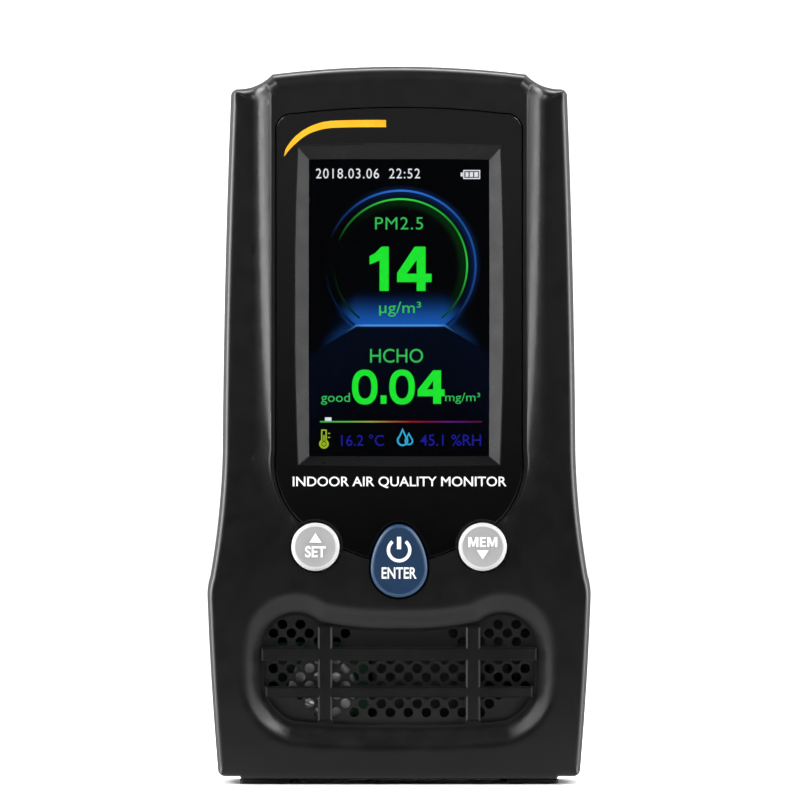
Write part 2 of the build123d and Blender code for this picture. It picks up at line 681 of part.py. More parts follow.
with BuildPart() as keypad_mat:
    with BuildSketch(Plane.XZ.offset(14.0)):
        with Locations((0, 50.0)):
            RectangleRounded(54.0, 18.0, 2.0)
        with Locations((-KEY_X, KEY_Z), (KEY_X, KEY_Z)):
            Circle(2.8, mode=Mode.SUBTRACT)
        with Locations((0, 48.0)):
            Circle(3.0, mode=Mode.SUBTRACT)
    extrude(amount=0.3)
    # rim that presses on the board
    with BuildSketch(Plane.XZ.offset(-BOARD_F)):
        with Locations((0, 50.0)):
            RectangleRounded(54.0, 18.0, 2.0)
            RectangleRounded(51.0, 15.0, 1.0, mode=Mode.SUBTRACT)
    extrude(amount=-(-14.0 - BOARD_F))
keypad_mat.part.label = "keypad_mat"

# --- inlet ---------------------------------------------------------------------------
with BuildPart() as inlet_guard:
    with BuildSketch(Plane.XZ.offset(16.45)):
        with BuildLine():
            half_grille(0.55)
            mirror(about=Plane.YZ)
        make_face()
        with BuildLine():
            half_grille(-0.75)
            mirror(about=Plane.YZ)
        make_face(mode=Mode.SUBTRACT)
        with Locations((0, 28.05)):
            Rectangle(60.6, 2.9)
        with Locations((0, 19.9)):
            Rectangle(58.2, 2.4)
        with Locations((-15.95, 23.6), (15.95, 23.6)):
            Rectangle(3.1, 22.0)
    extrude(amount=1.0)
    with BuildSketch(Plane.XZ.offset(17.4)):
        with Locations((0, 28.05)):
            Rectangle(59.4, 2.9)
        with Locations((0, 19.9)):
            Rectangle(57.6, 2.4)
        with Locations((-15.95, 23.8), (15.95, 23.8)):
            Rectangle(3.1, 20.4)
    extrude(amount=1.7)
    front = inlet_guard.edges().filter_by(lambda e: abs((e @ 0.5).Y + 19.1) < 0.01)
    chamfer(front, 0.4)
inlet_guard.part.label = "inlet_guard"

PLATE_F, PLATE_B = -14.55, -13.55
with BuildPart() as inlet_plate:
    with BuildSketch(Plane.XZ.offset(-PLATE_B)):
        with BuildLine():
            half_grille(1.3)
            mirror(about=Plane.YZ)
        make_face()
        for row in range(11):
            zz = 34.4 - 1.9 * row
            shift = 0.0 if row % 2 else 1.94
            for col in range(-8, 9):
                xx = -27.1 + shift + 3.88 * (col + 8)
                inside = abs(xx) < 27.4 and 15.0 < zz < 35.0
                if zz > 33.0:
                    inside = inside and 20.5 < abs(xx) < 26.5
                if 29.5 < zz < 33.5 and abs(xx) < 10.0:
                    inside = False
                if zz < 19.5:
                    inside = inside and abs(xx) < 24.0 - (19.5 - zz) * 1.0
                if inside and not (28.0 < zz < 28.9):
                    with Locations((xx, zz)):
                        Circle(1.05, mode=Mode.SUBTRACT)
    extrude(amount=PLATE_B - PLATE_F)
inlet_plate.part.label = "inlet_plate"

# --- particle sensor with its fan -------------------------------------------------------
PX0, PX1, PZ0, PZ1 = -5.8, 29.6, 5.2, 39.6
PCX, PCZ = (PX0 + PX1) / 2, (PZ0 + PZ1) / 2
with BuildPart() as particle_sensor_base:
    with BuildSketch(Plane.XZ.offset(-8.0)):
        with Locations((PCX, PCZ)):
            RectangleRounded(PX1 - PX0, PZ1 - PZ0, 1.0)
    extrude(amount=12.0)
    with BuildSketch(Plane.XZ.offset(-6.8)):
        with Locations((PCX, PCZ)):
            Rectangle(PX1 - PX0 - 2.4, PZ1 - PZ0 - 2.4)
    extrude(amount=20.0, mode=Mode.SUBTRACT)
    # fan scroll
    with BuildSketch(Plane.XZ.offset(-6.8)):
        with Locations((FAN_X, FAN_Z)):
            Circle(FAN_R + 1.7)
            Circle(FAN_R + 0.6, mode=Mode.SUBTRACT)
    extrude(amount=10.4)
    # optical chamber walls
    with BuildSketch(Plane.XZ.offset(-6.8)):
        with Locations((23.0, 17.2)):
            Rectangle(10.8, 1.2)
        with Locations((23.0, 26.8)):
            Rectangle(10.8, 1.2)
        with Locations((18.2, 31.0)):
            Rectangle(1.2, 8.0)
    extrude(amount=9.6)
    # outlet behind the fan, with three spokes that carry the motor
    with BuildSketch(Plane.XZ.offset(-12.0)):
        with Locations((FAN_X, FAN_Z)):
            Circle(8.4)
            Circle(4.6, mode=Mode.SUBTRACT)
            with PolarLocations(0, 3):
                Rectangle(9.0, 1.6, align=(Align.MIN, Align.CENTER), mode=Mode.SUBTRACT)
    extrude(amount=12.0, mode=Mode.SUBTRACT)
particle_sensor_base.part.label = "particle_sensor_base"

with BuildPart() as particle_sensor_cover:
    with BuildSketch(Plane.XZ.offset(4.0)):
        with Locations((PCX, PCZ)):
            RectangleRounded(PX1 - PX0, PZ1 - PZ0, 1.0)
        with Locations((22.9, 22.0)):
            with GridLocations(2.6, 0, 4, 1):
                SlotOverall(7.0, 1.3, rotation=90, mode=Mode.SUBTRACT)
    extrude(amount=1.0)
    with BuildSketch(Plane.XZ.offset(5.0)):
        with Locations((FAN_X, FAN_Z)):
            Circle(8.0)
            Circle(7.2, mode=Mode.SUBTRACT)
    extrude(amount=0.4)
particle_sensor_cover.part.label = "particle_sensor_cover"

with BuildPart() as fan_rotor:
    # cup
    with BuildSketch(Plane.XZ.offset(2.6)):
        with Locations((FAN_X, FAN_Z)):
            Circle(4.6)
    extrude(amount=-1.0)
    with BuildSketch(Plane.XZ.offset(1.7)):
        with Locations((FAN_X, FAN_Z)):
            Circle(4.6)
            Circle(4.0, mode=Mode.SUBTRACT)
    extrude(amount=-6.0)
    # shaft
    with BuildSketch(Plane.XZ.offset(1.7)):
        with Locations((FAN_X, FAN_Z)):
            Circle(SHAFT_R)
    extrude(amount=-6.6)
    # seven swept blades
    with BuildSketch(Plane.XZ.offset(2.0)):
        for i in range(7):
            turn = i * 360.0 / 7.0

            def on_fan(r, deg):
                a = math.radians(turn + deg)
                return (FAN_X + r * math.cos(a), FAN_Z + r * math.sin(a))

            with BuildLine():
                ThreePointArc(on_fan(4.35, -5.0), on_fan(6.7, 3.0), on_fan(8.9, 18.0))
                Line(on_fan(8.9, 18.0), on_fan(8.85, 23.0))
                ThreePointArc(on_fan(8.85, 23.0), on_fan(6.6, 9.5), on_fan(4.35, 5.0))
                Line(on_fan(4.35, 5.0), on_fan(4.35, -5.0))
            make_face()
    extrude(amount=-6.0)
fan_rotor.part.label = "fan_rotor"

with BuildPart() as fan_magnet:
    with BuildSketch(Plane.XZ.offset(1.4)):
        with Locations((FAN_X, FAN_Z)):
            Circle(3.98)
            Circle(3.35, mode=Mode.SUBTRACT)
    extrude(amount=-5.0)
fan_magnet.part.label = "fan_magnet"

with BuildPart() as fan_stator:
    with BuildSketch(Plane.XZ.offset(-6.8)):
        with Locations((FAN_X, FAN_Z)):
            Circle(1.9)
            Circle(1.42, mode=Mode.SUBTRACT)
    extrude(amount=7.4)
    with BuildSketch(Plane.XZ.offset(-4.6)):
        with Locations((FAN_X, FAN_Z)):
            with PolarLocations(0, 4):
                Rectangle(2.9, 1.5, align=(Align.MIN, Align.CENTER))
            Circle(1.42, mode=Mode.SUBTRACT)
    extrude(amount=4.2)
    with BuildSketch(Plane.XZ.offset(-6.8)):
        with Locations((FAN_X, FAN_Z)):
            Circle(3.3)
            Circle(1.42, mode=Mode.SUBTRACT)
    extrude(amount=0.8)
fan_stator.part.label = "fan_stator"

with BuildPart() as fan_bearing:
    with BuildSketch(Plane.XZ.offset(-6.4)):
        with Locations((FAN_X, FAN_Z)):
            Circle(1.4)
            Circle(SHAFT_R + 0.03, mode=Mode.SUBTRACT)
    extrude(amount=6.6)
fan_bearing.part.label = "fan_bearing"

with BuildPart() as laser_module:
    with BuildSketch(Plane.YZ.offset(18.9)):
        with Locations((2.0, 12.0)):
            Circle(2.9)
    extrude(amount=9.0)
    with BuildSketch(Plane.YZ.offset(17.9)):
        with Locations((2.0, 12.0)):
            Circle(2.0)
    extrude(amount=1.0)
laser_module.part.label = "laser_module"

with BuildPart() as photodiode:
    with BuildSketch(Plane.XZ.offset(-6.8)):
        with Locations((23.2, 22.0)):
            Rectangle(5.4, 4.4)
    extrude(amount=1.6)
    with BuildSketch(Plane.XZ.offset(-5.2)):
        with Locations((23.2, 22.0)):
            Rectangle(3.4, 3.0)
    extrude(amount=0.4)
photodiode.part.label = "photodiode"

with BuildPart() as sensor_board:
    with BuildSketch(Plane.XZ.offset(-9.4)):
        with Locations((PCX, PCZ)):
            Rectangle(33.4, 32.0)
        with Locations((FAN_X, FAN_Z)):
            Circle(8.6, mode=Mode.SUBTRACT)
    extrude(amount=1.2)
sensor_board.part.label = "sensor_board"

with BuildPart() as sensor_bracket:
    with BuildSketch(Plane.XZ.offset(-11.1)):
        with BuildLine():
            Polyline((-29.0, 5.6), (29.0, 5.6), (29.0, 13.2), (32.0, 13.2), (32.0, 43.6), (-32.0, 43.6), (-32.0, 13.2),
                     (-29.0, 13.2), (-29.0, 5.6))
        make_face()
        with Locations((FAN_X, FAN_Z)):
            Circle(9.4, mode=Mode.SUBTRACT)
        with Locations((-20.0, 36.0)):
            RectangleRounded(12.0, 5.0, 1.0, mode=Mode.SUBTRACT)
        with Locations((-28.5, 38.6), (-26.2, 8.2), (28.5, 41.6), (-2.0, 41.6)):
            Circle(1.2, mode=Mode.SUBTRACT)
    extrude(amount=1.5)
    # pillars of the gas sensor board
    with BuildSketch(Plane.XZ.offset(-9.6)):
        with Locations((HCHO_X - 8.2, HCHO_Z - 8.2), (HCHO_X - 8.2, HCHO_Z + 8.2), (HCHO_X + 8.2, HCHO_Z + 8.2), (HCHO_X + 8.2, HCHO_Z - 8.2)):
            Circle(1.5)
    extrude(amount=14.6)
sensor_bracket.part.label = "sensor_bracket"

with BuildPart() as sensor_screws:
    with BuildSketch(Plane.XZ.offset(-9.6)):
        with Locations((-28.5, 38.6), (-26.2, 8.2), (28.5, 41.6), (-2.0, 41.6)):
            Circle(1.9)
    extrude(amount=1.3)
    with BuildSketch(Plane.XZ.offset(-9.6)):
        with Locations((-28.5, 38.6), (-26.2, 8.2), (28.5, 41.6), (-2.0, 41.6)):
            Circle(0.8)
    extrude(amount=-5.6)
    with BuildSketch(Plane.XZ.offset(-8.3)):
        with Locations((-28.5, 38.6), (-26.2, 8.2), (28.5, 41.6), (-2.0, 41.6)):
            Rectangle(2.2, 0.45)
            Rectangle(0.45, 2.2)
    extrude(amount=-0.6, mode=Mode.SUBTRACT)
sensor_screws.part.label = "sensor_screws"

with BuildPart() as formaldehyde_board:
    with BuildSketch(Plane.XZ.offset(5.0)):
        with Locations((HCHO_X, HCHO_Z)):
            RectangleRounded(20.0, 20.0, 1.5)
    extrude(amount=1.2)
formaldehyde_board.part.label = "formaldehyde_board"

with BuildPart() as formaldehyde_sensor:
    with BuildSketch(Plane.XZ.offset(6.2)):
        with Locations((HCHO_X, HCHO_Z)):
            Circle(HCHO_R)
    extrude(amount=6.0)
    rim = formaldehyde_sensor.edges().sort_by(Axis.Y)[0]
    fillet(rim, 0.5)
    with BuildSketch(Plane.XZ.offset(11.7)):
        with Locations((HCHO_X, HCHO_Z)):
            Circle(4.8)
    extrude(amount=2.0, mode=Mode.SUBTRACT)
formaldehyde_sensor.part.label = "formaldehyde_sensor"

with BuildPart() as formaldehyde_membrane:
    with BuildSketch(Plane.XZ.offset(11.7)):
        with Locations((HCHO_X, HCHO_Z)):
            Circle(4.75)
    extrude(amount=0.3)
formaldehyde_membrane.part.label = "formaldehyde_membrane"

with BuildPart() as climate_sensor:
    with BuildSketch(Plane.YZ.offset(-36.2)):
        with Locations((9.0 - 3.0, 24.0)):
            Rectangle(8.0, 12.0)
    extrude(amount=1.0)
    with BuildSketch(Plane.YZ.offset(-37.1)):
        with Locations((9.0 - 3.0, 25.0)):
            Rectangle(3.0, 3.0)
    extrude(amount=0.9)
climate_sensor.part.label = "climate_sensor"

# --- power ---------------------------------------------------------------------------------
with BuildPart() as battery_cell:
    with BuildSketch(Plane.XZ.offset(-10.6)):
        with Locations((-2.0, 87.0)):
            RectangleRounded(38.0, 56.0, 2.5)
    extrude(amount=7.4)
    fillet(battery_cell.edges().filter_by(Plane.XZ), 1.6)
battery_cell.part.label = "battery_cell"

with BuildPart() as battery_cradle:
    with BuildSketch(Plane.XZ.offset(-12.2)):
        with Locations((-2.0, 87.0)):
            RectangleRounded(42.0, 60.0, 2.0)
    extrude(amount=6.0)
    with BuildSketch(Plane.XZ.offset(-10.8)):
        with Locations((-2.0, 87.0)):
            RectangleRounded(38.6, 56.6, 2.5)
    extrude(amount=8.0, mode=Mode.SUBTRACT)
    with BuildSketch(Plane.XZ.offset(-14.0)):
        with Locations((-2.0, 87.0)):
            with GridLocations(14.0, 26.0, 2, 2):
                RectangleRounded(8.0, 16.0, 1.5)
    extrude(amount=6.0, mode=Mode.SUBTRACT)
battery_cradle.part.label = "battery_cradle"

with BuildPart() as charge_socket:
    # metal shell, 7.6 by 2.7 mouth, opening towards +X
    with BuildSketch(Plane.YZ.offset(31.4)):
        with Locations((SOCKET_Y, SOCKET_Z)):
            RectangleRounded(3.1, 8.1, 0.9)
    extrude(amount=5.4)
    with BuildSketch(Plane.YZ.offset(32.0)):
        with Locations((SOCKET_Y, SOCKET_Z)):
            RectangleRounded(2.5, 7.5, 0.7)
    extrude(amount=8.0, mode=Mode.SUBTRACT)
    # tongue
    with BuildSketch(Plane.YZ.offset(31.9)):
        with Locations((SOCKET_Y + 0.45, SOCKET_Z)):
            Rectangle(0.8, 6.0)
    extrude(amount=3.6)
charge_socket.part.label = "charge_socket"

with BuildPart() as charge_board:
    with BuildSketch(Plane.XZ.offset(-(SOCKET_Y + 1.6 + 1.0))):
        with Locations((28.1, SOCKET_Z)):
            Rectangle(10.2, 17.0)
    extrude(amount=1.0)
charge_board.part.label = "charge_board"

# --- feet and case screws ---------------------------------------------------------------------
with BuildPart() as rubber_feet:
    with Locations((-28.8, -11.0, 0.0), (28.8, -11.0, 0.0), (-27.5, 12.0, 0.0), (27.5, 12.0, 0.0)):
        Box(11.2, 8.0, 1.0, align=(Align.CENTER, Align.CENTER, Align.MIN))
    fillet(rubber_feet.edges().filter_by(Axis.Z), 1.0)
    fillet(rubber_feet.edges().group_by(Axis.Z)[0], 0.25)
rubber_feet.part.label = "rubber_feet"

with BuildPart() as housing_screws:
    with BuildSketch(Plane.XZ.offset(-5.05)):
        with Locations((-SCREW_TOP[0], SCREW_TOP[1]), SCREW_TOP, (-SCREW_LOW[0], SCREW_LOW[1]), SCREW_LOW):
            Circle(2.4)
    extrude(amount=-1.9)
    heads = housing_screws.edges().filter_by(lambda e: (e @ 0.5).Y > 6.9)
    fillet(heads, 0.6)
    with BuildSketch(Plane.XZ.offset(-5.05)):
        with Locations((-SCREW_TOP[0], SCREW_TOP[1]), SCREW_TOP, (-SCREW_LOW[0], SCREW_LOW[1]), SCREW_LOW):
            Circle(1.05)
    extrude(amount=12.0)
    with BuildSketch(Plane.XZ.offset(-7.2)):
        with Locations((-SCREW_TOP[0], SCREW_TOP[1]), SCREW_TOP, (-SCREW_LOW[0], SCREW_LOW[1]), SCREW_LOW):
            Rectangle(2.7, 0.6)
            Rectangle(0.6, 2.7)
    extrude(amount=1.2, mode=Mode.SUBTRACT)
housing_screws.part.label = "housing_screws"

PIECES = [front_housing, rear_housing, front_panel, display_lens, display_gasket, lcd_panel, backlight_frame,
          display_ribbon, main_board, board_chips, board_connectors, board_screws, buzzer, coin_cell,
          coin_cell_holder, set_key, mem_key, enter_key, set_contact, mem_contact, enter_contact, keypad_mat,
          inlet_guard, inlet_plate, particle_sensor_base, particle_sensor_cover, fan_rotor, fan_magnet,
          fan_stator, fan_bearing, laser_module, photodiode, sensor_board, sensor_bracket, sensor_screws,
          formaldehyde_board, formaldehyde_sensor, formaldehyde_membrane, climate_sensor, battery_cell,
          battery_cradle, charge_socket, charge_board, rubber_feet, housing_screws]

for piece in PIECES:
    export_step(piece.part, "parts/" + piece.part.label + ".step")
    print(piece.part.label, len(piece.part.solids()), round(piece.part.volume, 1), piece.part.is_valid)
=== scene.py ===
import bpy, bmesh, math
import numpy as np
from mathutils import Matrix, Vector
from mathutils.geometry import delaunay_2d_cdt


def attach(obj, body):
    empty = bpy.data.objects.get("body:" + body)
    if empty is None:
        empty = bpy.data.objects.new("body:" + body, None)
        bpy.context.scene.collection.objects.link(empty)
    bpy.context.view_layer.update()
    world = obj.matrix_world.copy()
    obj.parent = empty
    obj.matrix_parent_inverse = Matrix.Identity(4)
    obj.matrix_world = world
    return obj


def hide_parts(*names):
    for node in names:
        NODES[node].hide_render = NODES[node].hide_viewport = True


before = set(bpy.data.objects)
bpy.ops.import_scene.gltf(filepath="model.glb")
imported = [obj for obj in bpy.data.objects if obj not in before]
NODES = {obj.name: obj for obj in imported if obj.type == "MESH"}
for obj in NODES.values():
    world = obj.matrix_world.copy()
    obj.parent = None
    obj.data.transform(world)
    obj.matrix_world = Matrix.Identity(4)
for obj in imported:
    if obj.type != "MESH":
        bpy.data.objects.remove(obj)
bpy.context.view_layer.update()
MM = 0.001
scene = bpy.context.scene

# ---------------------------------------------------------------- geometry helpers (all in millimetres)


def arc3(a, b, c, n):
    (x1, y1), (x2, y2), (x3, y3) = a, b, c
    d = 2 * (x1 * (y2 - y3) + x2 * (y3 - y1) + x3 * (y1 - y2))
    ux = ((x1 * x1 + y1 * y1) * (y2 - y3) + (x2 * x2 + y2 * y2) * (y3 - y1) + (x3 * x3 + y3 * y3) * (y1 - y2)) / d
    uy = ((x1 * x1 + y1 * y1) * (x3 - x2) + (x2 * x2 + y2 * y2) * (x1 - x3) + (x3 * x3 + y3 * y3) * (x2 - x1)) / d
    r = math.hypot(x1 - ux, y1 - uy)
    t1, t2, t3 = (math.atan2(y - uy, x - ux) for x, y in (a, b, c))
    two = 2 * math.pi
    if (t2 - t1) % two <= (t3 - t1) % two:
        sweep = (t3 - t1) % two
    else:
        sweep = -((t1 - t3) % two)
    return [(ux + r * math.cos(t1 + sweep * i / n), uy + r * math.sin(t1 + sweep * i / n)) for i in range(n + 1)]


def join(*runs):
    out = []
    for r in runs:
        for p in r:
            if not out or math.hypot(p[0] - out[-1][0], p[1] - out[-1][1]) > 1e-6:
                out.append(tuple(p))
    return out


def resample(pts, step):
    """Points along an open line about step apart; the ends stay."""
    p = np.array(pts, float)
    seg = np.hypot(*np.diff(p, axis=0).T)
    s = np.concatenate([[0], np.cumsum(seg)])
    n = max(1, int(round(s[-1] / step)))
    t = np.linspace(0, s[-1], n + 1)
    return [(float(np.interp(v, s, p[:, 0])), float(np.interp(v, s, p[:, 1]))) for v in t]


def close_mirror(half):
    """half runs from the top centre, down the right, to the bottom centre; the result is the whole loop."""
    left = [(-x, z) for x, z in reversed(half[1:-1])]
    return list(half) + left


def inside(poly, pts):
    """Which points lie in a closed polygon."""
    poly = np.asarray(poly, float)
    pts = np.asarray(pts, float)
    x, z = pts[:, 0], pts[:, 1]
    out = np.zeros(len(pts), bool)
    x1, z1 = poly[:, 0], poly[:, 1]
    x2, z2 = np.roll(x1, -1), np.roll(z1, -1)
    for i in range(len(poly)):
        if z1[i] == z2[i]:
            continue
        cross = ((z1[i] > z) != (z2[i] > z)) & (x < (x2[i] - x1[i]) * (z - z1[i]) / (z2[i] - z1[i]) + x1[i])
        out ^= cross
    return out


def dist_to(poly, pts, closed=True):
    """Distance from each point to a polyline."""
    a = np.asarray(poly, float)
    b = np.roll(a, -1, axis=0) if closed else a[1:]
    a = a if closed else a[:-1]
    pts = np.asarray(pts, float)
    best = np.full(len(pts), 1e9)
    for (ax, az), (bx, bz) in zip(a, b):
        dx, dz = bx - ax, bz - az
        l2 = dx * dx + dz * dz
        if l2 < 1e-12:
            continue
        t = np.clip(((pts[:, 0] - ax) * dx + (pts[:, 1] - az) * dz) / l2, 0, 1)
        best = np.minimum(best, np.hypot(pts[:, 0] - ax - t * dx, pts[:, 1] - az - t * dz))
    return best


def signed(poly, pts):
    d = dist_to(poly, pts)
    return np.where(inside(poly, pts), -d, d)


def smooth(t):
    t = np.clip(t, 0, 1)
    return t * t * (3 - 2 * t)


def outline_half(k=0.0):
    return [
        resample(arc3((0, 155.2 - k), (14.0, 154.75 - k), (27.5 - k, 153.5 - k), 60), 0.7),
        resample(arc3((27.5 - k, 153.5 - k), (30.4 - k, 151.35 - k), (35.0 - k, 150.3 - k), 40), 0.35),
        resample(arc3((35.0 - k, 150.3 - k), (36.1 - k, 149.8 - k), (36.5 - k, 148.7 - k), 20), 0.22),
        resample(arc3((36.5 - k, 148.7 - k), (37.6 - k, 115.2), (38.3 - k, 72.0), 100), 0.8),
        resample(arc3((38.3 - k, 72.0), (39.15 - k, 58.0), (41.0 - k, 44.6), 60), 0.8),
        resample(arc3((41.0 - k, 44.6), (41.55 - k, 41.9), (41.6 - k, 39.6), 20), 0.5),
        resample(arc3((41.6 - k, 39.6), (40.75 - k, 22.0), (39.35 - k, 2.6 + k), 60), 0.8),
        resample(arc3((39.35 - k, 2.6 + k), (38.9 - k, 1.55 + k), (37.8 - k, 1.1 + k), 20), 0.25),
        resample([(37.8 - k, 1.1 + k), (34.6 - k, 1.1 + k)], 0.6),
        resample([(34.6 - k, 1.1 + k), (34.1 - k, 0.45 + k)], 0.25),
        resample([(34.1 - k, 0.45 + k), (0, 0.45 + k)], 0.8),
    ]


def panel_half(k):
    return join(
        resample(arc3((0, 145.75 + k), (11.0, 145.45 + k), (22.6, 144.4 + k), 40), 0.6),
        resample(arc3((22.6, 144.4 + k), (25.6 + k * 0.8, 143.3 + k * 0.7), (26.5 + k, 140.6), 20), 0.3),
        resample([(26.5 + k, 140.6), (26.5 + k, 72.0)], 0.8),
        resample(arc3((26.5 + k, 72.0), (25.7 + k, 63.4 - k * 0.4), (22.2 + k * 0.8, 57.4 - k * 0.6), 30), 0.5),
        resample(arc3((22.2 + k * 0.8, 57.4 - k * 0.6), (12.5, 50.9 - k * 0.8), (0, 47.4 - k), 40), 0.6),
    )


def enter_half(step=0.5):
    return join(
        resample(arc3((0, 56.05), (1.8433, 55.6262), (3.3162, 54.4390), 20), step),
        resample(arc3((3.3162, 54.4390), (5.3843, 50.6538), (6.1, 46.4), 30), step),
        resample(arc3((6.1, 46.4), (4.3134, 42.0866), (0, 40.3), 40), step),
    )


def grille_half(k):
    return join(
        resample(arc3((0, 33.6 + k), (9.0, 33.9 + k), (17.3, 35.2 + k), 30), 0.6),
        resample(arc3((17.3, 35.2 + k), (23.9, 36.9 + k), (29.5 + k * 0.9, 31.4 + k * 0.5), 40), 0.4),
        resample(arc3((29.5 + k * 0.9, 31.4 + k * 0.5), (30.0 + k, 27.0), (30.0 + k, 24.0), 20), 0.5),
        resample(arc3((30.0 + k, 24.0), (28.3 + k * 0.9, 17.2 - k * 0.5), (23.0, 12.9 - k), 40), 0.4),
        resample(arc3((23.0, 12.9 - k), (12.0, 12.1 - k), (0, 12.0 - k), 40), 0.6),
    )


def circle(cx, cz, r, n=56):
    return [(cx + r * math.cos(2 * math.pi * i / n), cz + r * math.sin(2 * math.pi * i / n)) for i in range(n)]


def offset_loop(loop, d, smooth_n=0):
    """A closed clockwise loop moved inwards by d (number or one per point)."""
    p = np.asarray(loop, float)
    n = normals(p, smooth_n)
    d = np.broadcast_to(np.asarray(d, float), (len(p),))
    return p - n * d[:, None]


def normals(p, smooth_mm=0.0):
    """Outward normals of a clockwise loop (top, right, bottom, left)."""
    t = np.roll(p, -1, axis=0) - np.roll(p, 1, axis=0)
    n = np.stack([-t[:, 1], t[:, 0]], axis=1)
    n /= np.linalg.norm(n, axis=1)[:, None]
    if smooth_mm > 0:
        seg = np.hypot(*(np.roll(p, -1, axis=0) - p).T)
        s = np.concatenate([[0], np.cumsum(seg)[:-1]])
        total = s[-1] + seg[-1]
        out = np.zeros_like(n)
        for i in range(len(p)):
            d = np.abs(s - s[i])
            d = np.minimum(d, total - d)
            w = np.exp(-(d / smooth_mm) ** 2) * (seg + np.roll(seg, 1))
            out[i] = (n * w[:, None]).sum(axis=0)
        n = out / np.linalg.norm(out, axis=1)[:, None]
    return n


def make(name, verts, faces, smooth_deg=35.0, merge=0.004):
    """A mesh object from millimetre coordinates."""
    me = bpy.data.meshes.new(name)
    me.from_pydata([tuple(float(c) * MM for c in v) for v in verts], [], [tuple(int(i) for i in f) for f in faces])
    bm = bmesh.new()
    bm.from_mesh(me)
    if merge:
        bmesh.ops.remove_doubles(bm, verts=bm.verts, dist=merge * MM)
    bmesh.ops.dissolve_degenerate(bm, edges=bm.edges, dist=1e-7)
    loose = [v for v in bm.verts if not v.link_faces]
    bmesh.ops.delete(bm, geom=loose, context="VERTS")
    bmesh.ops.recalc_face_normals(bm, faces=bm.faces)
    bm.to_mesh(me)
    bm.free()
    shade(me, smooth_deg)
    ob = bpy.data.objects.new(name, me)
    scene.collection.objects.link(ob)
    return ob


def shade(me, deg):
    me.polygons.foreach_set("use_smooth", [True] * len(me.polygons))
    me.update()
    if deg is not None:
        me.set_sharp_from_angle(angle=math.radians(deg))


def apply_mods(ob, smooth_deg=None):
    deps = bpy.context.evaluated_depsgraph_get()
    me = bpy.data.meshes.new_from_object(ob.evaluated_get(deps))
    ob.modifiers.clear()
    ob.data = me
    if smooth_deg is not None:
        shade(me, smooth_deg)


# ---------------------------------------------------------------- materials
def nodes_of(m):
    m.use_nodes = True
    nt = m.node_tree
    nt.nodes.clear()
    out = nt.nodes.new("ShaderNodeOutputMaterial")
    b = nt.nodes.new("ShaderNodeBsdfPrincipled")
    nt.links.new(b.outputs["BSDF"], out.inputs["Surface"])
    return nt, b


def plastic(name, lo, hi, rough=(0.4, 0.55), grain=2200.0, grain_h=0.02, spec=0.5, metallic=0.0, blotch=60.0,
            coat=0.0, coat_rough=0.05, grain_detail=2.0, scratches=0.0, sheen=0.0, dist=0.00004):
    """Moulded or coated surface: colour drifts between lo and hi, roughness wanders, and a fine grain is in the bump."""
    m = bpy.data.materials.new(name)
    nt, b = nodes_of(m)
    N, L = nt.nodes, nt.links
    tc = N.new("ShaderNodeTexCoord")
    big = N.new("ShaderNodeTexNoise")
    big.inputs["Scale"].default_value = blotch
    big.inputs["Detail"].default_value = 3.0
    L.new(tc.outputs["Object"], big.inputs["Vector"])
    ramp = N.new("ShaderNodeValToRGB")
    ramp.color_ramp.elements[0].position = 0.3
    ramp.color_ramp.elements[1].position = 0.7
    ramp.color_ramp.elements[0].color = (*lo, 1)
    ramp.color_ramp.elements[1].color = (*hi, 1)
    L.new(big.outputs["Fac"], ramp.inputs["Fac"])
    L.new(ramp.outputs["Color"], b.inputs["Base Color"])
    fine = N.new("ShaderNodeTexNoise")
    fine.inputs["Scale"].default_value = grain
    fine.inputs["Detail"].default_value = grain_detail
    L.new(tc.outputs["Object"], fine.inputs["Vector"])
    mid = N.new("ShaderNodeTexNoise")
    mid.inputs["Scale"].default_value = blotch * 4.7
    mid.inputs["Detail"].default_value = 4.0
    L.new(tc.outputs["Object"], mid.inputs["Vector"])
    mr = N.new("ShaderNodeMapRange")
    mr.inputs["From Min"].default_value = 0.3
    mr.inputs["From Max"].default_value = 0.7
    mr.inputs["To Min"].default_value = rough[0]
    mr.inputs["To Max"].default_value = rough[1]
    L.new(mid.outputs["Fac"], mr.inputs["Value"])
    L.new(mr.outputs["Result"], b.inputs["Roughness"])
    if grain_h > 0:
        bump = N.new("ShaderNodeBump")
        bump.inputs["Strength"].default_value = min(1.0, grain_h * 10)
        bump.inputs["Distance"].default_value = dist
        L.new(fine.outputs["Fac"], bump.inputs["Height"])
        L.new(bump.outputs["Normal"], b.inputs["Normal"])
    b.inputs["Specular IOR Level"].default_value = spec
    b.inputs["Metallic"].default_value = metallic
    if coat:
        b.inputs["Coat Weight"].default_value = coat
        b.inputs["Coat Roughness"].default_value = coat_rough
    if sheen:
        b.inputs["Sheen Weight"].default_value = sheen
    m.diffuse_color = (*hi, 1)
    return m


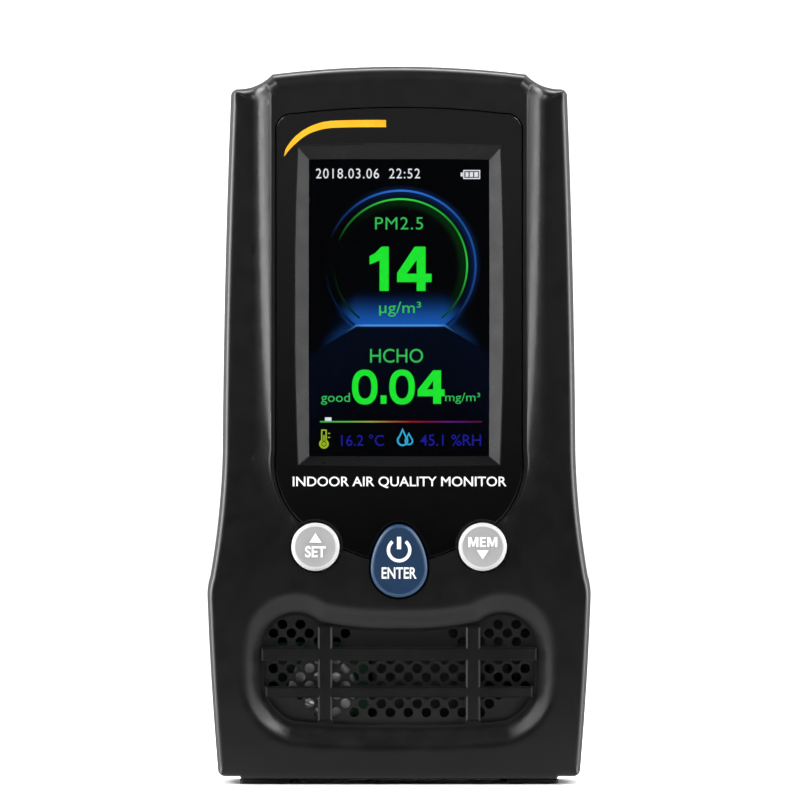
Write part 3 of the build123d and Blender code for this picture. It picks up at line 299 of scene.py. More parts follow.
def glow(name, colour, strength=1.0, vary=0.08, scale=900.0):
    """A lit element of the display, with the slight unevenness of a backlight."""
    m = bpy.data.materials.new(name)
    nt, b = nodes_of(m)
    N, L = nt.nodes, nt.links
    tc = N.new("ShaderNodeTexCoord")
    noise = N.new("ShaderNodeTexNoise")
    noise.inputs["Scale"].default_value = scale
    noise.inputs["Detail"].default_value = 1.0
    L.new(tc.outputs["Object"], noise.inputs["Vector"])
    ramp = N.new("ShaderNodeValToRGB")
    ramp.color_ramp.elements[0].position = 0.35
    ramp.color_ramp.elements[1].position = 0.65
    ramp.color_ramp.elements[0].color = (*[c * (1 - vary) for c in colour], 1)
    ramp.color_ramp.elements[1].color = (*colour, 1)
    L.new(noise.outputs["Fac"], ramp.inputs["Fac"])
    L.new(ramp.outputs["Color"], b.inputs["Emission Color"])
    b.inputs["Emission Strength"].default_value = strength
    b.inputs["Base Color"].default_value = (0.0, 0.0, 0.0, 1)
    b.inputs["Roughness"].default_value = 0.6
    b.inputs["Specular IOR Level"].default_value = 0.0
    m.diffuse_color = (*colour, 1)
    return m


def lin(h):
    """Linear colour from an sRGB hex string."""
    v = [int(h[i:i + 2], 16) / 255 for i in (0, 2, 4)]
    return tuple(c / 12.92 if c <= 0.04045 else ((c + 0.055) / 1.055) ** 2.4 for c in v)


M = {}
M["case"] = plastic("case_plastic", (0.0034, 0.0034, 0.0035), (0.0050, 0.0050, 0.0051), rough=(0.30, 0.38), grain=2600, grain_h=0.03, spec=0.30)
M["guard"] = plastic("guard_plastic", (0.0025, 0.0025, 0.0026), (0.0040, 0.0040, 0.0041), rough=(0.30, 0.40), grain=2600, grain_h=0.03, spec=0.24)
M["panel"] = plastic("panel_gloss", (0.0040, 0.0040, 0.0043), (0.0062, 0.0062, 0.0065), rough=(0.10, 0.15), grain=500, grain_h=0.004, blotch=35, coat=0.5, coat_rough=0.04)
def matt_at_edge(m, amount=0.62, lo=0.64, hi=0.88):
    """Skin roughness rises where the surface turns away, as on a fine moulded texture."""
    nt_ = m.node_tree
    b_ = next(q for q in nt_.nodes if q.type == "BSDF_PRINCIPLED")
    src = b_.inputs["Roughness"].links[0].from_socket
    lw = nt_.nodes.new("ShaderNodeLayerWeight")
    lw.inputs["Blend"].default_value = 0.5
    r_ = nt_.nodes.new("ShaderNodeMapRange")
    r_.interpolation_type = "SMOOTHSTEP"
    r_.inputs["From Min"].default_value = lo
    r_.inputs["From Max"].default_value = hi
    r_.inputs["To Min"].default_value = 0.0
    r_.inputs["To Max"].default_value = amount
    nt_.links.new(lw.outputs["Facing"], r_.inputs["Value"])
    ad = nt_.nodes.new("ShaderNodeMath")
    ad.operation = "ADD"
    ad.use_clamp = True
    nt_.links.new(src, ad.inputs[0])
    nt_.links.new(r_.outputs["Result"], ad.inputs[1])
    nt_.links.new(ad.outputs["Value"], b_.inputs["Roughness"])


def painted_shade_by_height(m, z0, z1, c0, c1):
    """Painted shade: the colour ramp of a plastic also follows the height, between two tones, darker low and lighter
    high.
    """
    nt_ = m.node_tree
    b_ = next(q for q in nt_.nodes if q.type == "BSDF_PRINCIPLED")
    old = b_.inputs["Base Color"].links[0].from_socket
    tc_ = nt_.nodes.new("ShaderNodeTexCoord")
    sp_ = nt_.nodes.new("ShaderNodeSeparateXYZ")
    nt_.links.new(tc_.outputs["Object"], sp_.inputs["Vector"])
    mr_ = nt_.nodes.new("ShaderNodeMapRange")
    mr_.inputs["From Min"].default_value = z0
    mr_.inputs["From Max"].default_value = z1
    nt_.links.new(sp_.outputs["Z"], mr_.inputs["Value"])
    rp_ = nt_.nodes.new("ShaderNodeValToRGB")
    rp_.color_ramp.elements[0].color = (*c0, 1)
    rp_.color_ramp.elements[1].color = (*c1, 1)
    nt_.links.new(mr_.outputs["Result"], rp_.inputs["Fac"])
    mx_ = nt_.nodes.new("ShaderNodeMix")
    mx_.data_type = "RGBA"
    mx_.inputs["Factor"].default_value = 0.7
    nt_.links.new(old, mx_.inputs[6])
    nt_.links.new(rp_.outputs["Color"], mx_.inputs[7])
    nt_.links.new(mx_.outputs[2], b_.inputs["Base Color"])


# painted shade on the case: base colour darker low on the body, lighter towards the top
painted_shade_by_height(M["case"], 0.045, 0.125, (0.0020, 0.0020, 0.0021), (0.0098, 0.0098, 0.0101))
matt_at_edge(M["case"])
matt_at_edge(M["guard"])
pm = M["panel"]
nt = pm.node_tree
b = next(q for q in nt.nodes if q.type == "BSDF_PRINCIPLED")
b.inputs["Specular IOR Level"].default_value = 0.30
b.inputs["Coat Weight"].default_value = 0.2
# painted shade on the gloss panel: base colour from near black at the bottom to lighter at the top, with a little noise
tcn = nt.nodes.new("ShaderNodeTexCoord")
sep = nt.nodes.new("ShaderNodeSeparateXYZ")
nt.links.new(tcn.outputs["Object"], sep.inputs["Vector"])
mr = nt.nodes.new("ShaderNodeMapRange")
mr.inputs["From Min"].default_value = 0.050
mr.inputs["From Max"].default_value = 0.140
nt.links.new(sep.outputs["Z"], mr.inputs["Value"])
nz2 = nt.nodes.new("ShaderNodeTexNoise")
nz2.inputs["Scale"].default_value = 40.0
nt.links.new(tcn.outputs["Object"], nz2.inputs["Vector"])
ma = nt.nodes.new("ShaderNodeMath")
ma.operation = "MULTIPLY_ADD"
ma.inputs[1].default_value = 0.08
nt.links.new(nz2.outputs["Fac"], ma.inputs[0])
nt.links.new(mr.outputs["Result"], ma.inputs[2])
panel_painted_shade_ramp = nt.nodes.new("ShaderNodeValToRGB")
panel_painted_shade_ramp.color_ramp.elements[0].color = (0.0006, 0.0006, 0.0006, 1)
panel_painted_shade_ramp.color_ramp.elements[1].color = (0.0105, 0.0105, 0.0107, 1)
nt.links.new(ma.outputs["Value"], panel_painted_shade_ramp.inputs["Fac"])
nt.links.new(panel_painted_shade_ramp.outputs["Color"], b.inputs["Base Color"])
M["bevel"] = plastic("bevel_gloss", (0.0060, 0.0060, 0.0063), (0.0085, 0.0085, 0.0088), rough=(0.26, 0.34), grain=900, grain_h=0.006, spec=0.14)
M["plate"] = plastic("plate_dark", (0.0075, 0.0075, 0.0077), (0.0125, 0.0125, 0.0128), rough=(0.36, 0.50), grain=1800, grain_h=0.03, spec=0.4)
M["rims"] = plastic("plate_rims", (0.075, 0.075, 0.076), (0.115, 0.115, 0.117), rough=(0.30, 0.42), grain=1800, grain_h=0.02)
M["grey_key"] = plastic("key_grey", lin("969696"), lin("9E9E9E"), rough=(0.42, 0.52), grain=2400, grain_h=0.02, blotch=180)
# the rim materials are lighter copies of the key colours: a painted highlight on the rounded key rims
M["grey_rim"] = plastic("key_grey_rim", lin("BEBEBE"), lin("C8C8C8"), rough=(0.34, 0.44), grain=2400, grain_h=0.02, blotch=180)
M["navy_key"] = plastic("key_navy", (0.0075, 0.0260, 0.0620), (0.0095, 0.0310, 0.0720), rough=(0.38, 0.46), grain=2400, grain_h=0.02, blotch=180, spec=0.22)
M["navy_rim"] = plastic("key_navy_rim", (0.018, 0.050, 0.115), (0.024, 0.062, 0.135), rough=(0.30, 0.40), grain=2400, grain_h=0.02, blotch=180)
M["print"] = plastic("print_white", (0.80, 0.80, 0.80), (0.90, 0.90, 0.90), rough=(0.50, 0.60), grain=3000, grain_h=0.01, blotch=400)
M["amber"] = plastic("print_amber", lin("EEA00C"), lin("F4B41A"), rough=(0.42, 0.52), grain=3000, grain_h=0.01, blotch=220)
M["rubber"] = plastic("foot_rubber", (0.014, 0.014, 0.014), (0.022, 0.022, 0.022), rough=(0.75, 0.9), grain=1400, grain_h=0.06)
M["inner"] = plastic("inner_plastic", (0.045, 0.045, 0.048), (0.065, 0.065, 0.070), rough=(0.5, 0.6))
M["steel"] = plastic("steel", (0.50, 0.50, 0.52), (0.62, 0.62, 0.64), rough=(0.25, 0.38), metallic=1.0, grain=1500, grain_h=0.02)
M["socket"] = plastic("socket_steel", (0.20, 0.20, 0.21), (0.28, 0.28, 0.29), rough=(0.40, 0.52), metallic=0.85, grain=1500, grain_h=0.02)
M["screw"] = plastic("screw_black", (0.030, 0.030, 0.031), (0.050, 0.050, 0.052), rough=(0.30, 0.45), metallic=0.6, grain=1500, grain_h=0.03)
M["board"] = plastic("circuit_board", (0.010, 0.110, 0.040), (0.016, 0.150, 0.060), rough=(0.30, 0.42), blotch=240, grain=900)
M["white"] = plastic("sensor_white", (0.78, 0.78, 0.77), (0.88, 0.88, 0.87), rough=(0.35, 0.5))
M["membrane"] = plastic("membrane", (0.88, 0.88, 0.88), (0.97, 0.97, 0.97), rough=(0.22, 0.36), grain=700, grain_h=0.09, metallic=0.55, dist=0.0003)
M["foam"] = plastic("black_foam", (0.006, 0.006, 0.006), (0.010, 0.010, 0.010), rough=(0.85, 0.95), grain=1200, grain_h=0.08)
M["lcd"] = plastic("display_glass", (0.0008, 0.0010, 0.0016), (0.0010, 0.0012, 0.0020), rough=(0.25, 0.30), grain_h=0.0)
M["film"] = plastic("flex_film", (0.40, 0.18, 0.035), (0.50, 0.24, 0.05), rough=(0.25, 0.35))
M["chip"] = plastic("chip_black", (0.015, 0.015, 0.016), (0.025, 0.025, 0.026), rough=(0.45, 0.6))
M["cream"] = plastic("connector_cream", (0.68, 0.62, 0.50), (0.78, 0.72, 0.60), rough=(0.45, 0.55))
M["silicone"] = plastic("silicone", (0.26, 0.27, 0.29), (0.32, 0.33, 0.35), rough=(0.6, 0.75))
M["pill"] = plastic("carbon_pill", (0.010, 0.010, 0.010), (0.016, 0.016, 0.016), rough=(0.8, 0.9))
M["blue"] = plastic("sensor_blue", (0.022, 0.070, 0.210), (0.032, 0.095, 0.260), rough=(0.4, 0.5))
M["alu"] = plastic("sensor_metal", (0.030, 0.030, 0.032), (0.045, 0.045, 0.048), rough=(0.40, 0.55), metallic=0.3)
M["fan"] = plastic("fan_black", (0.016, 0.016, 0.016), (0.024, 0.024, 0.024), rough=(0.4, 0.5))
M["magnet"] = plastic("magnet", (0.06, 0.06, 0.065), (0.09, 0.09, 0.095), rough=(0.5, 0.65), metallic=0.7)
M["copper"] = plastic("copper", (0.50, 0.22, 0.09), (0.66, 0.32, 0.15), rough=(0.25, 0.4), metallic=1.0, grain=2600, grain_h=0.08)
M["brass"] = plastic("brass", (0.62, 0.45, 0.18), (0.76, 0.58, 0.28), rough=(0.2, 0.32), metallic=1.0)
M["pouch"] = plastic("battery_wrap", (0.30, 0.32, 0.35), (0.40, 0.42, 0.45), rough=(0.28, 0.4), metallic=0.8)

lens_m = bpy.data.materials.new("clear_window")
nt, b = nodes_of(lens_m)
b.inputs["Base Color"].default_value = (0.96, 0.97, 0.98, 1)
b.inputs["Roughness"].default_value = 0.0
b.inputs["IOR"].default_value = 1.45
b.inputs["Transmission Weight"].default_value = 1.0
tcn = nt.nodes.new("ShaderNodeTexCoord")
nn = nt.nodes.new("ShaderNodeTexNoise")
nn.inputs["Scale"].default_value = 30.0
nt.links.new(tcn.outputs["Object"], nn.inputs["Vector"])
bp = nt.nodes.new("ShaderNodeBump")
bp.inputs["Strength"].default_value = 0.02
bp.inputs["Distance"].default_value = 0.00002
nt.links.new(nn.outputs["Fac"], bp.inputs["Height"])
nt.links.new(bp.outputs["Normal"], b.inputs["Normal"])
M["lens"] = lens_m

NODE_MAT = {
    "display_lens": "lens", "display_gasket": "foam", "lcd_panel": "lcd", "backlight_frame": "inner",
    "display_ribbon": "film", "main_board": "board", "board_chips": "chip", "board_connectors": "cream",
    "board_screws": "steel", "buzzer": "chip", "coin_cell": "steel", "coin_cell_holder": "inner",
    "set_contact": "pill", "mem_contact": "pill", "enter_contact": "pill", "keypad_mat": "silicone",
    "inlet_guard": "guard", "inlet_plate": "plate", "particle_sensor_base": "blue", "particle_sensor_cover": "alu",
    "fan_rotor": "fan", "fan_magnet": "magnet", "fan_stator": "copper", "fan_bearing": "brass",
    "laser_module": "brass", "photodiode": "chip", "sensor_board": "board", "sensor_bracket": "inner",
    "sensor_screws": "steel", "formaldehyde_board": "board", "formaldehyde_sensor": "white",
    "formaldehyde_membrane": "membrane", "climate_sensor": "board", "battery_cell": "pouch",
    "battery_cradle": "inner", "charge_socket": "socket", "charge_board": "board", "rubber_feet": "rubber",
    "housing_screws": "screw", "front_housing": "case", "rear_housing": "case", "front_panel": "panel",
    "set_key": "grey_key", "mem_key": "grey_key", "enter_key": "navy_key",
}
for name, ob in NODES.items():
    m = M[NODE_MAT[name]]
    ob.data.materials.clear()
    ob.data.materials.append(m)

# ---------------------------------------------------------------- front shell
BLOCK_D, UPPER_D, LOWER_D = 19.5, 19.12, 19.9
PLATE_HALF = join(
    [(0, 165.0), (27.5, 165.0)],
    resample([(27.5, 165.0), (27.5, 72.0)], 0.8),
    resample(arc3((27.5, 72.0), (26.6, 63.0), (22.9, 56.9), 30), 0.5),
    resample(arc3((22.9, 56.9), (12.5, 50.2), (0, 48.0), 40), 0.6),
)
PLATE_LOOP = close_mirror(PLATE_HALF)
GRILLE_LOOP = close_mirror(grille_half(0.0))


def front_depth(pts, with_plate=True):
    """How far forward the front surface stands, for points (x, z)."""
    p = np.asarray(pts, float)
    x, z = np.abs(p[:, 0]), p[:, 1]
    base = UPPER_D + (LOWER_D - UPPER_D) * smooth((68 - z) / 22)
    q = (z - 57.0) / 93.0
    qs = (np.sqrt(q * q + 0.004) + q) / 2
    drop = 4.75 * (1 - np.clip(1 - qs, 0, 1) ** 1.25)
    pq = np.stack([x, z], axis=1)
    u = signed(PLATE_LOOP, pq)
    t = np.clip(u / 4.2, 0, 1)
    d = base - drop * (1 - (1 - t) ** 2.3)
    # crown towards the sides
    d = d - 0.55 * (x / 41.0) ** 4
    # soft dish round the inlet
    g = signed(GRILLE_LOOP, pq)
    k = np.clip(1 - g / 4.3, 0, 1)
    d = d - 1.85 * smooth(k)
    if with_plate:
        pl = np.where(u <= 0, BLOCK_D, BLOCK_D - u / 0.10 * 0.5)
        d = np.maximum(d, pl)
    return d


def kf(y):
    return 0.9 * (1.0 - y) / 23.0


def build_shell(name, sign, y_part, inset, depth, r_edge, smooth_mm, holes, features, spacing, wall_depth):
    """A moulded shell. sign -1: the front (depth is towards -Y), +1: the rear. Returns vertices and faces in millimetres."""
    loop0 = np.asarray(close_mirror(join(*outline_half(0.0))), float)
    nrm = normals(loop0, smooth_mm)
    nrm0 = normals(loop0, 0.25)
    n = len(loop0)
    r = r_edge(loop0)
    base = loop0 - nrm0 * inset
    inner = base - nrm * r[:, None]
    ye = depth(inner)                              # depth at the inner end of the rounding
    rings = []
    rings.append((loop0 - nrm0 * 0.34, np.full(n, y_part)))
    rings.append((loop0 - nrm0 * 0.34, np.full(n, y_part + sign * 0.16)))
    rings.append((loop0 - nrm0 * 0.05, np.full(n, y_part + sign * 0.17)))
    y_wall = y_part + sign * 0.22
    side_d = ye - r                                # depth where the rounding starts
    for f in (0.0, 0.05, 0.3, 0.55, 0.8, 0.95):
        yy = y_wall + (sign * side_d - y_wall) * f
        k = inset * f
        rings.append((loop0 - nrm0 * k, yy))
    for j in range(0, 7):
        a = math.pi / 2 * j / 6
        pos = base - nrm * (r * (1 - math.cos(a)))[:, None]
        dd = ye - r * (1 - math.sin(a))
        rings.append((pos, sign * dd))
    verts, faces = [], []
    fixed_rings = []
    for pos, yy in rings:
        want = np.hypot(*(pos - loop0).T)
        real = dist_to(loop0, pos)
        bad = real < want * 0.94 - 0.02
        bad |= np.roll(bad, 1) & np.roll(bad, -1)
        if bad.any() and not bad.all():
            pos = pos.copy()
            yy = np.array(yy, float)
            start = int(np.argmin(bad))
            j = 0
            while j < n:
                if bad[(start + j) % n]:
                    k = j
                    while bad[(start + k) % n]:
                        k += 1
                    p0, p1 = (start + j - 1) % n, (start + k) % n
                    mid_p, mid_y = (pos[p0] + pos[p1]) / 2, (yy[p0] + yy[p1]) / 2
                    for q in range(j, k):
                        pos[(start + q) % n] = mid_p
                        yy[(start + q) % n] = mid_y
                    j = k
                else:
                    j += 1
        fixed_rings.append((pos, yy))
    rings = fixed_rings
    for pos, yy in rings:
        for (x, z), y in zip(pos, yy):
            verts.append((x, y, z))
    for i in range(len(rings) - 1):
        for j in range(n):
            a, b2 = i * n + j, i * n + (j + 1) % n
            faces.append((a, b2, b2 + n, a + n))
    ring_last = rings[-1][0]
    # inside: constrained triangulation
    pts = [tuple(p) for p in ring_last]
    edges = [(i, (i + 1) % n) for i in range(n)]
    for loop in holes:
        s = len(pts)
        pts += [tuple(p) for p in loop]
        edges += [(s + i, s + (i + 1) % len(loop)) for i in range(len(loop))]
    inner_poly = ring_last
    fe = []
    for line in features:
        arr = np.asarray(line, float)
        ok = inside(inner_poly, arr) & (dist_to(inner_poly, arr) > 0.05)
        run = []
        for p, good in list(zip(arr, ok)) + [(None, False)]:
            if good:
                run.append(tuple(p))
            else:
                if len(run) > 1:
                    fe.append(run)
                run = []
    for run in fe:
        s = len(pts)
        pts += run
        edges += [(s + i, s + i + 1) for i in range(len(run) - 1)]
    fixed = np.asarray(pts)
    lo, hi = inner_poly.min(axis=0), inner_poly.max(axis=0)
    gx, gz = [], []
    row = 0
    z = lo[1]
    h = spacing
    while z < hi[1]:
        xs = np.arange(lo[0] + (row % 2) * h / 2, hi[0], h)
        gx.append(xs)
        gz.append(np.full(len(xs), z))
        z += h * 0.866
        row += 1
    grid = np.stack([np.concatenate(gx), np.concatenate(gz)], axis=1)
    keep = inside(inner_poly, grid)
    grid = grid[keep]
    # leave out grid points close to any fixed point
    cell = {}
    for i, (px, pz) in enumerate(fixed):
        cell.setdefault((int(px // 1.0), int(pz // 1.0)), []).append(i)
    good = []
    lim = (h * 0.45) ** 2
    for px, pz in grid:
        cx, cz = int(px // 1.0), int(pz // 1.0)
        near = False
        for dx in (-1, 0, 1):
            for dz in (-1, 0, 1):
                for i in cell.get((cx + dx, cz + dz), ()):
                    if (fixed[i][0] - px) ** 2 + (fixed[i][1] - pz) ** 2 < lim:
                        near = True
                        break
                if near:
                    break
            if near:
                break
        if not near:
            good.append((px, pz))
    pts += good
    v2, e2, f2, *_ = delaunay_2d_cdt([Vector(p) for p in pts], edges, [], 0, 1e-5)
    V = np.array([(v.x, v.y) for v in v2])
    F = np.array([tuple(f) for f in f2])
    cen = V[F].mean(axis=1)
    ok = inside(inner_poly, cen)
    for loop in holes:
        ok &= ~inside(loop, cen)
    F = F[ok]
    dep = depth(V)
    off = len(verts)
    for (x, z), d in zip(V, dep):
        verts.append((x, sign * d, z))
    faces += [tuple(off + i for i in f) for f in F]
    # walls of the holes
    count = {}
    for f in F:
        for a, b2 in ((f[0], f[1]), (f[1], f[2]), (f[2], f[0])):
            key = (min(a, b2), max(a, b2))
            count[key] = count.get(key, 0) + 1
    border = [k for k, c in count.items() if c == 1]
    mid = np.array([(V[a] + V[b2]) / 2 for a, b2 in border])
    on_outer = dist_to(inner_poly, mid) < 0.02
    down = {}
    for (a, b2), outer in zip(border, on_outer):
        if outer:
            continue
        for i in (a, b2):
            if i not in down:
                x, z = V[i]
                down[i] = len(verts)
                verts.append((x, sign * wall_depth(x, z, dep[i]), z))
        faces.append((off + a, off + b2, down[b2], down[a]))
    return verts, faces


KEY_X, KEY_Z, KEY_R, GAP = 18.0, 51.2, 5.2, 0.45
recess = close_mirror(panel_half(0.22))
enter_loop = close_mirror(enter_half(0.4))
enter_hole = [tuple(p) for p in offset_loop(enter_loop, -GAP)]
front_holes = [recess, circle(-KEY_X, KEY_Z, KEY_R + GAP), circle(KEY_X, KEY_Z, KEY_R + GAP), enter_hole, GRILLE_LOOP]


def front_r(loop):
    x, z = np.abs(loop[:, 0]), loop[:, 1]
    r = np.full(len(loop), 1.0)
    top = smooth((z - 148.4) / 2.0)
    r = r + top * 1.7
    corner = np.exp(-((np.hypot(x - 36.1, z - 149.6)) / 2.4) ** 4)
    r = r * (1 - corner) + corner * 0.68
    bottom = smooth((3.6 - z) / 1.5)
    return r * (1 - bottom) + 0.5 * bottom


def front_wall(x, z, d):
    if z < 38.5 and 11.0 < z:
        return 14.7
    return 17.6


plate_lines = []
edge_line = [p for p in PLATE_LOOP if p[1] < 160]
right = [p for p in PLATE_HALF[1:]]
left = [(-x, z) for x, z in right]
right_out = [tuple(q) for q in (np.asarray(right) + np.array([0.1, 0.0]))]
left_out = [(-x, z) for x, z in right_out]
dish_lines = [close_mirror(grille_half(0.45)) + [close_mirror(grille_half(0.45))[0]]]
# lines across the flank keep its curve smooth
flank_lines = []
for du in (0.35, 0.8, 1.4, 2.1, 3.0, 4.2):
    ln = [(27.5 + du, z) for z in np.arange(66, 160, 1.2)]
    flank_lines.append(ln)
    flank_lines.append([(-x, z) for x, z in ln])
v, f = build_shell("front_shell", -1, 1.0, 0.85, front_depth, front_r, 2.2, front_holes,
                   [right, left, right_out, left_out] + dish_lines + flank_lines, 0.85, front_wall)
front_shell = make("front_shell", v, f, 32)
sol = front_shell.modifiers.new("wall", "SOLIDIFY")
sol.thickness = 1.3 * MM
sol.offset = -1
sol.use_even_offset = False
front_shell.data.materials.append(M["case"])
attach(front_shell, "housing")
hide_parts("front_housing")


# ---------------------------------------------------------------- rear shell
ST_Z = np.array([-3.0, 42.0, 56.0, 72.0, 95.0, 160.0])
ST_D = np.array([21.0, 21.0, 20.6, 19.7, 18.1, 14.9])
LABEL = [(-21, 39), (21, 39), (22.4, 39.6), (23, 41), (23, 55), (22.4, 56.4), (21, 57), (-21, 57), (-22.4, 56.4), (-23, 55), (-23, 41), (-22.4, 39.6)]
LABEL = resample(LABEL + [LABEL[0]], 0.8)[:-1]
LABEL_OUT = [(x * (1 + 0.12 / 23), 48 + (z - 48) * (1 + 0.12 / 9)) for x, z in LABEL]


def rear_depth(pts):
    p = np.asarray(pts, float)
    x, z = np.abs(p[:, 0]), p[:, 1]
    # the profile, eased so it has no corners
    zz = np.linspace(-20, 175, 391)
    dd = np.interp(zz, ST_Z, ST_D)
    ker = np.exp(-(np.arange(-24, 25) * 0.5 / 5.0) ** 2)
    dd = np.convolve(np.pad(dd, 24, mode="edge"), ker / ker.sum(), mode="valid")
    d = np.interp(z, zz, dd)
    # rounded plan: the back turns into the side walls
    wv = np.interp(z, SIDE_Z, SIDE_X)
    rp = 7.0
    e = np.clip((x - (wv - rp)) / rp, 0, 0.985)
    d = d - 7.6 * (1 - np.sqrt(1 - e * e))
    # the back rolls over into the top
    t = np.clip((z - 140.0) / 15.6, 0, 0.985)
    d = d - (d - 4.6) * (1 - np.sqrt(1 - t ** 2.2))
    inlab = signed(LABEL, np.stack([p[:, 0], z], axis=1))
    d = d - np.where(inlab <= 0.0, 0.4, np.clip(0.4 - inlab / 0.1 * 0.4, 0, 0.4))
    return np.minimum(d, 20.98)


SIDE_Z = np.array([0.0, 2.6, 22.0, 39.6, 41.9, 44.6, 58.0, 72.0, 115.2, 148.7, 160.0])
SIDE_X = np.array([39.3, 39.4, 40.75, 41.6, 41.5, 41.0, 39.15, 38.3, 37.6, 36.5, 36.2]) - 1.0


def rear_r(loop):
    x, z = np.abs(loop[:, 0]), loop[:, 1]
    r = np.full(len(loop), 0.55)
    return r


WELLS = [(31.0, 142.0), (-31.0, 142.0), (33.4, 8.6), (-33.4, 8.6)]
rear_holes = [circle(x, z, 2.6, 40) for x, z in WELLS]
for i in range(6):
    cx = 6.5 + (i - 2.5) * 4.2
    top_a = [(cx + math.cos(a) * 1.0, 22.5 + 7.5 + math.sin(a) * 1.0) for a in np.linspace(0, math.pi, 9)]
    low_a = [(cx + math.cos(a) * 1.0, 22.5 - 7.5 + math.sin(a) * 1.0) for a in np.linspace(math.pi, 2 * math.pi, 9)]
    loop = top_a + [(cx - 1.0, 22.5 + v) for v in (5, 2.5, 0, -2.5, -5)] + low_a + [(cx + 1.0, 22.5 + v) for v in (-5, -2.5, 0, 2.5, 5)]
    rear_holes.append(loop)


def rear_wall(x, z, d):
    if any(math.hypot(x - a, z - b) < 2.8 for a, b in WELLS):
        return 5.2
    return d - 2.0


rear_lines = []
for k in (1.75, 2.1, 2.6, 3.2, 4.0, 5.0, 6.2, 7.6):
    zz = np.arange(1.0, 151.0, 1.5)
    xx = np.interp(zz, SIDE_Z, SIDE_X) + 1.0 - k
    rear_lines += [list(zip(xx, zz)), list(zip(-xx, zz))]
for zt in (154.0, 153.3, 152.5, 151.5, 150.2, 148.6, 146.6, 144.2):
    rear_lines.append([(v_, zt) for v_ in np.arange(-36, 36.1, 1.5)])
v, f = build_shell("rear_shell", 1, 1.0, 0.8, rear_depth, rear_r, 0.5, rear_holes,
                   [LABEL + [LABEL[0]], LABEL_OUT + [LABEL_OUT[0]]] + rear_lines, 1.3, rear_wall)
rear_shell = make("rear_shell", v, f, 32)


def slot_outline(cy, cz, half_y, half_z, r, steps=5):
    ring = []
    for sx, sz, a0 in ((1, 1, 0), (-1, 1, 90), (-1, -1, 180), (1, -1, 270)):
        for i in range(steps):
            a = math.radians(a0 + 90 * i / (steps - 1))
            ring.append((cy + sx * (half_y - r) + r * math.cos(a), cz + sz * (half_z - r) + r * math.sin(a)))
    return ring


def open_side(me, ring, side):
    """Cut a convex outline, given in (y, z), out of the skin on one side."""
    bm = bmesh.new()
    bm.from_mesh(me)
    ys, zs = [p[0] for p in ring], [p[1] for p in ring]
    y0, y1, z0, z1 = min(ys) - 1.0, max(ys) + 1.0, min(zs) - 1.5, max(zs) + 1.5
    n = len(ring)
    for i in range(n):
        (ya, za), (yb, zb) = ring[i], ring[(i + 1) % n]
        if math.hypot(yb - ya, zb - za) < 0.03:
            continue
        local = []
        for f_ in bm.faces:
            c_ = f_.calc_center_median() / MM
            if c_.x * side > 33 and y0 < c_.y < y1 and z0 < c_.z < z1:
                local.append(f_)
        geom = list(local) + list({e_ for f_ in local for e_ in f_.edges}) + list({v_ for f_ in local for v_ in f_.verts})
        bmesh.ops.bisect_plane(bm, geom=geom, dist=1e-8, plane_co=(side * 0.040, ya * MM, za * MM), plane_no=(0, zb - za, -(yb - ya)), clear_inner=False, clear_outer=False)
    gone = []
    for f_ in bm.faces:
        c_ = f_.calc_center_median() / MM
        if c_.x * side > 33 and y0 < c_.y < y1 and z0 < c_.z < z1 and inside(ring, [(c_.y, c_.z)])[0]:
            gone.append(f_)
    bmesh.ops.delete(bm, geom=gone, context="FACES")
    bm.to_mesh(me)
    bm.free()


for i in range(4):
    open_side(rear_shell.data, slot_outline(9 + (i - 1.5) * 3.4, 24.0, 0.8, 6.0, 0.78), -1)
open_side(rear_shell.data, slot_outline(9.0, 78.0, 1.8, 4.5, 1.2), 1)
shade(rear_shell.data, 32)
sol = rear_shell.modifiers.new("wall", "SOLIDIFY")
sol.thickness = 1.3 * MM
sol.offset = -1
rear_shell.data.materials.append(M["case"])
apply_mods(rear_shell, 32)
apply_mods(front_shell, 32)
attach(rear_shell, "housing")
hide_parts("rear_housing")


# ---------------------------------------------------------------- parts refined from the CAD nodes
def refined(node, name, width, segs, mat, body="housing", deg=30.0, angle=25.0, clean=True):
    """A new mesh with the node's shape, flat faces joined up and its edges rounded."""
    src = NODES[node]
    me = src.data.copy()
    me.transform(src.matrix_world)
    me.name = name
    bm = bmesh.new()
    bm.from_mesh(me)
    bmesh.ops.remove_doubles(bm, verts=bm.verts, dist=2e-6)
    bmesh.ops.dissolve_degenerate(bm, edges=bm.edges, dist=1e-7)
    if clean:
        bmesh.ops.dissolve_limit(bm, angle_limit=math.radians(0.4), verts=bm.verts, edges=bm.edges, use_dissolve_boundaries=False)
    bmesh.ops.recalc_face_normals(bm, faces=bm.faces)
    for e in bm.edges:
        e.smooth = True
    bm.to_mesh(me)
    bm.free()
    ob = bpy.data.objects.new(name, me)
    scene.collection.objects.link(ob)
    me.materials.clear()
    me.materials.append(mat)
    bv = ob.modifiers.new("round", "BEVEL")
    bv.width = width * MM
    bv.segments = segs
    bv.limit_method = "ANGLE"
    bv.angle_limit = math.radians(angle)
    bv.harden_normals = False
    bv.use_clamp_overlap = True
    bv.loop_slide = True
    apply_mods(ob, deg)
    wn = ob.modifiers.new("weighted", "WEIGHTED_NORMAL")
    wn.keep_sharp = True
    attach(ob, body)
    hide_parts(node)
    return ob


panel = refined("front_panel", "face_panel", 0.32, 3, M["panel"])
panel.data.materials.append(M["bevel"])
for p in panel.data.polygons:
    c = p.center / MM
    n = p.normal
    if abs(c.x) < 22.8 and 68.0 < c.z < 138.2 and -19.3 < c.y < -16.0 and (abs(n.x) > 0.25 or abs(n.z) > 0.25) and n.y < -0.2:
        p.material_index = 1
guard = refined("inlet_guard", "guard_bars", 0.45, 3, M["guard"])
plate = refined("inlet_plate", "guard_plate", 0.12, 2, M["plate"])
refined("rubber_feet", "feet_pads", 0.25, 2, M["rubber"])
refined("housing_screws", "case_screws", 0.12, 2, M["screw"])


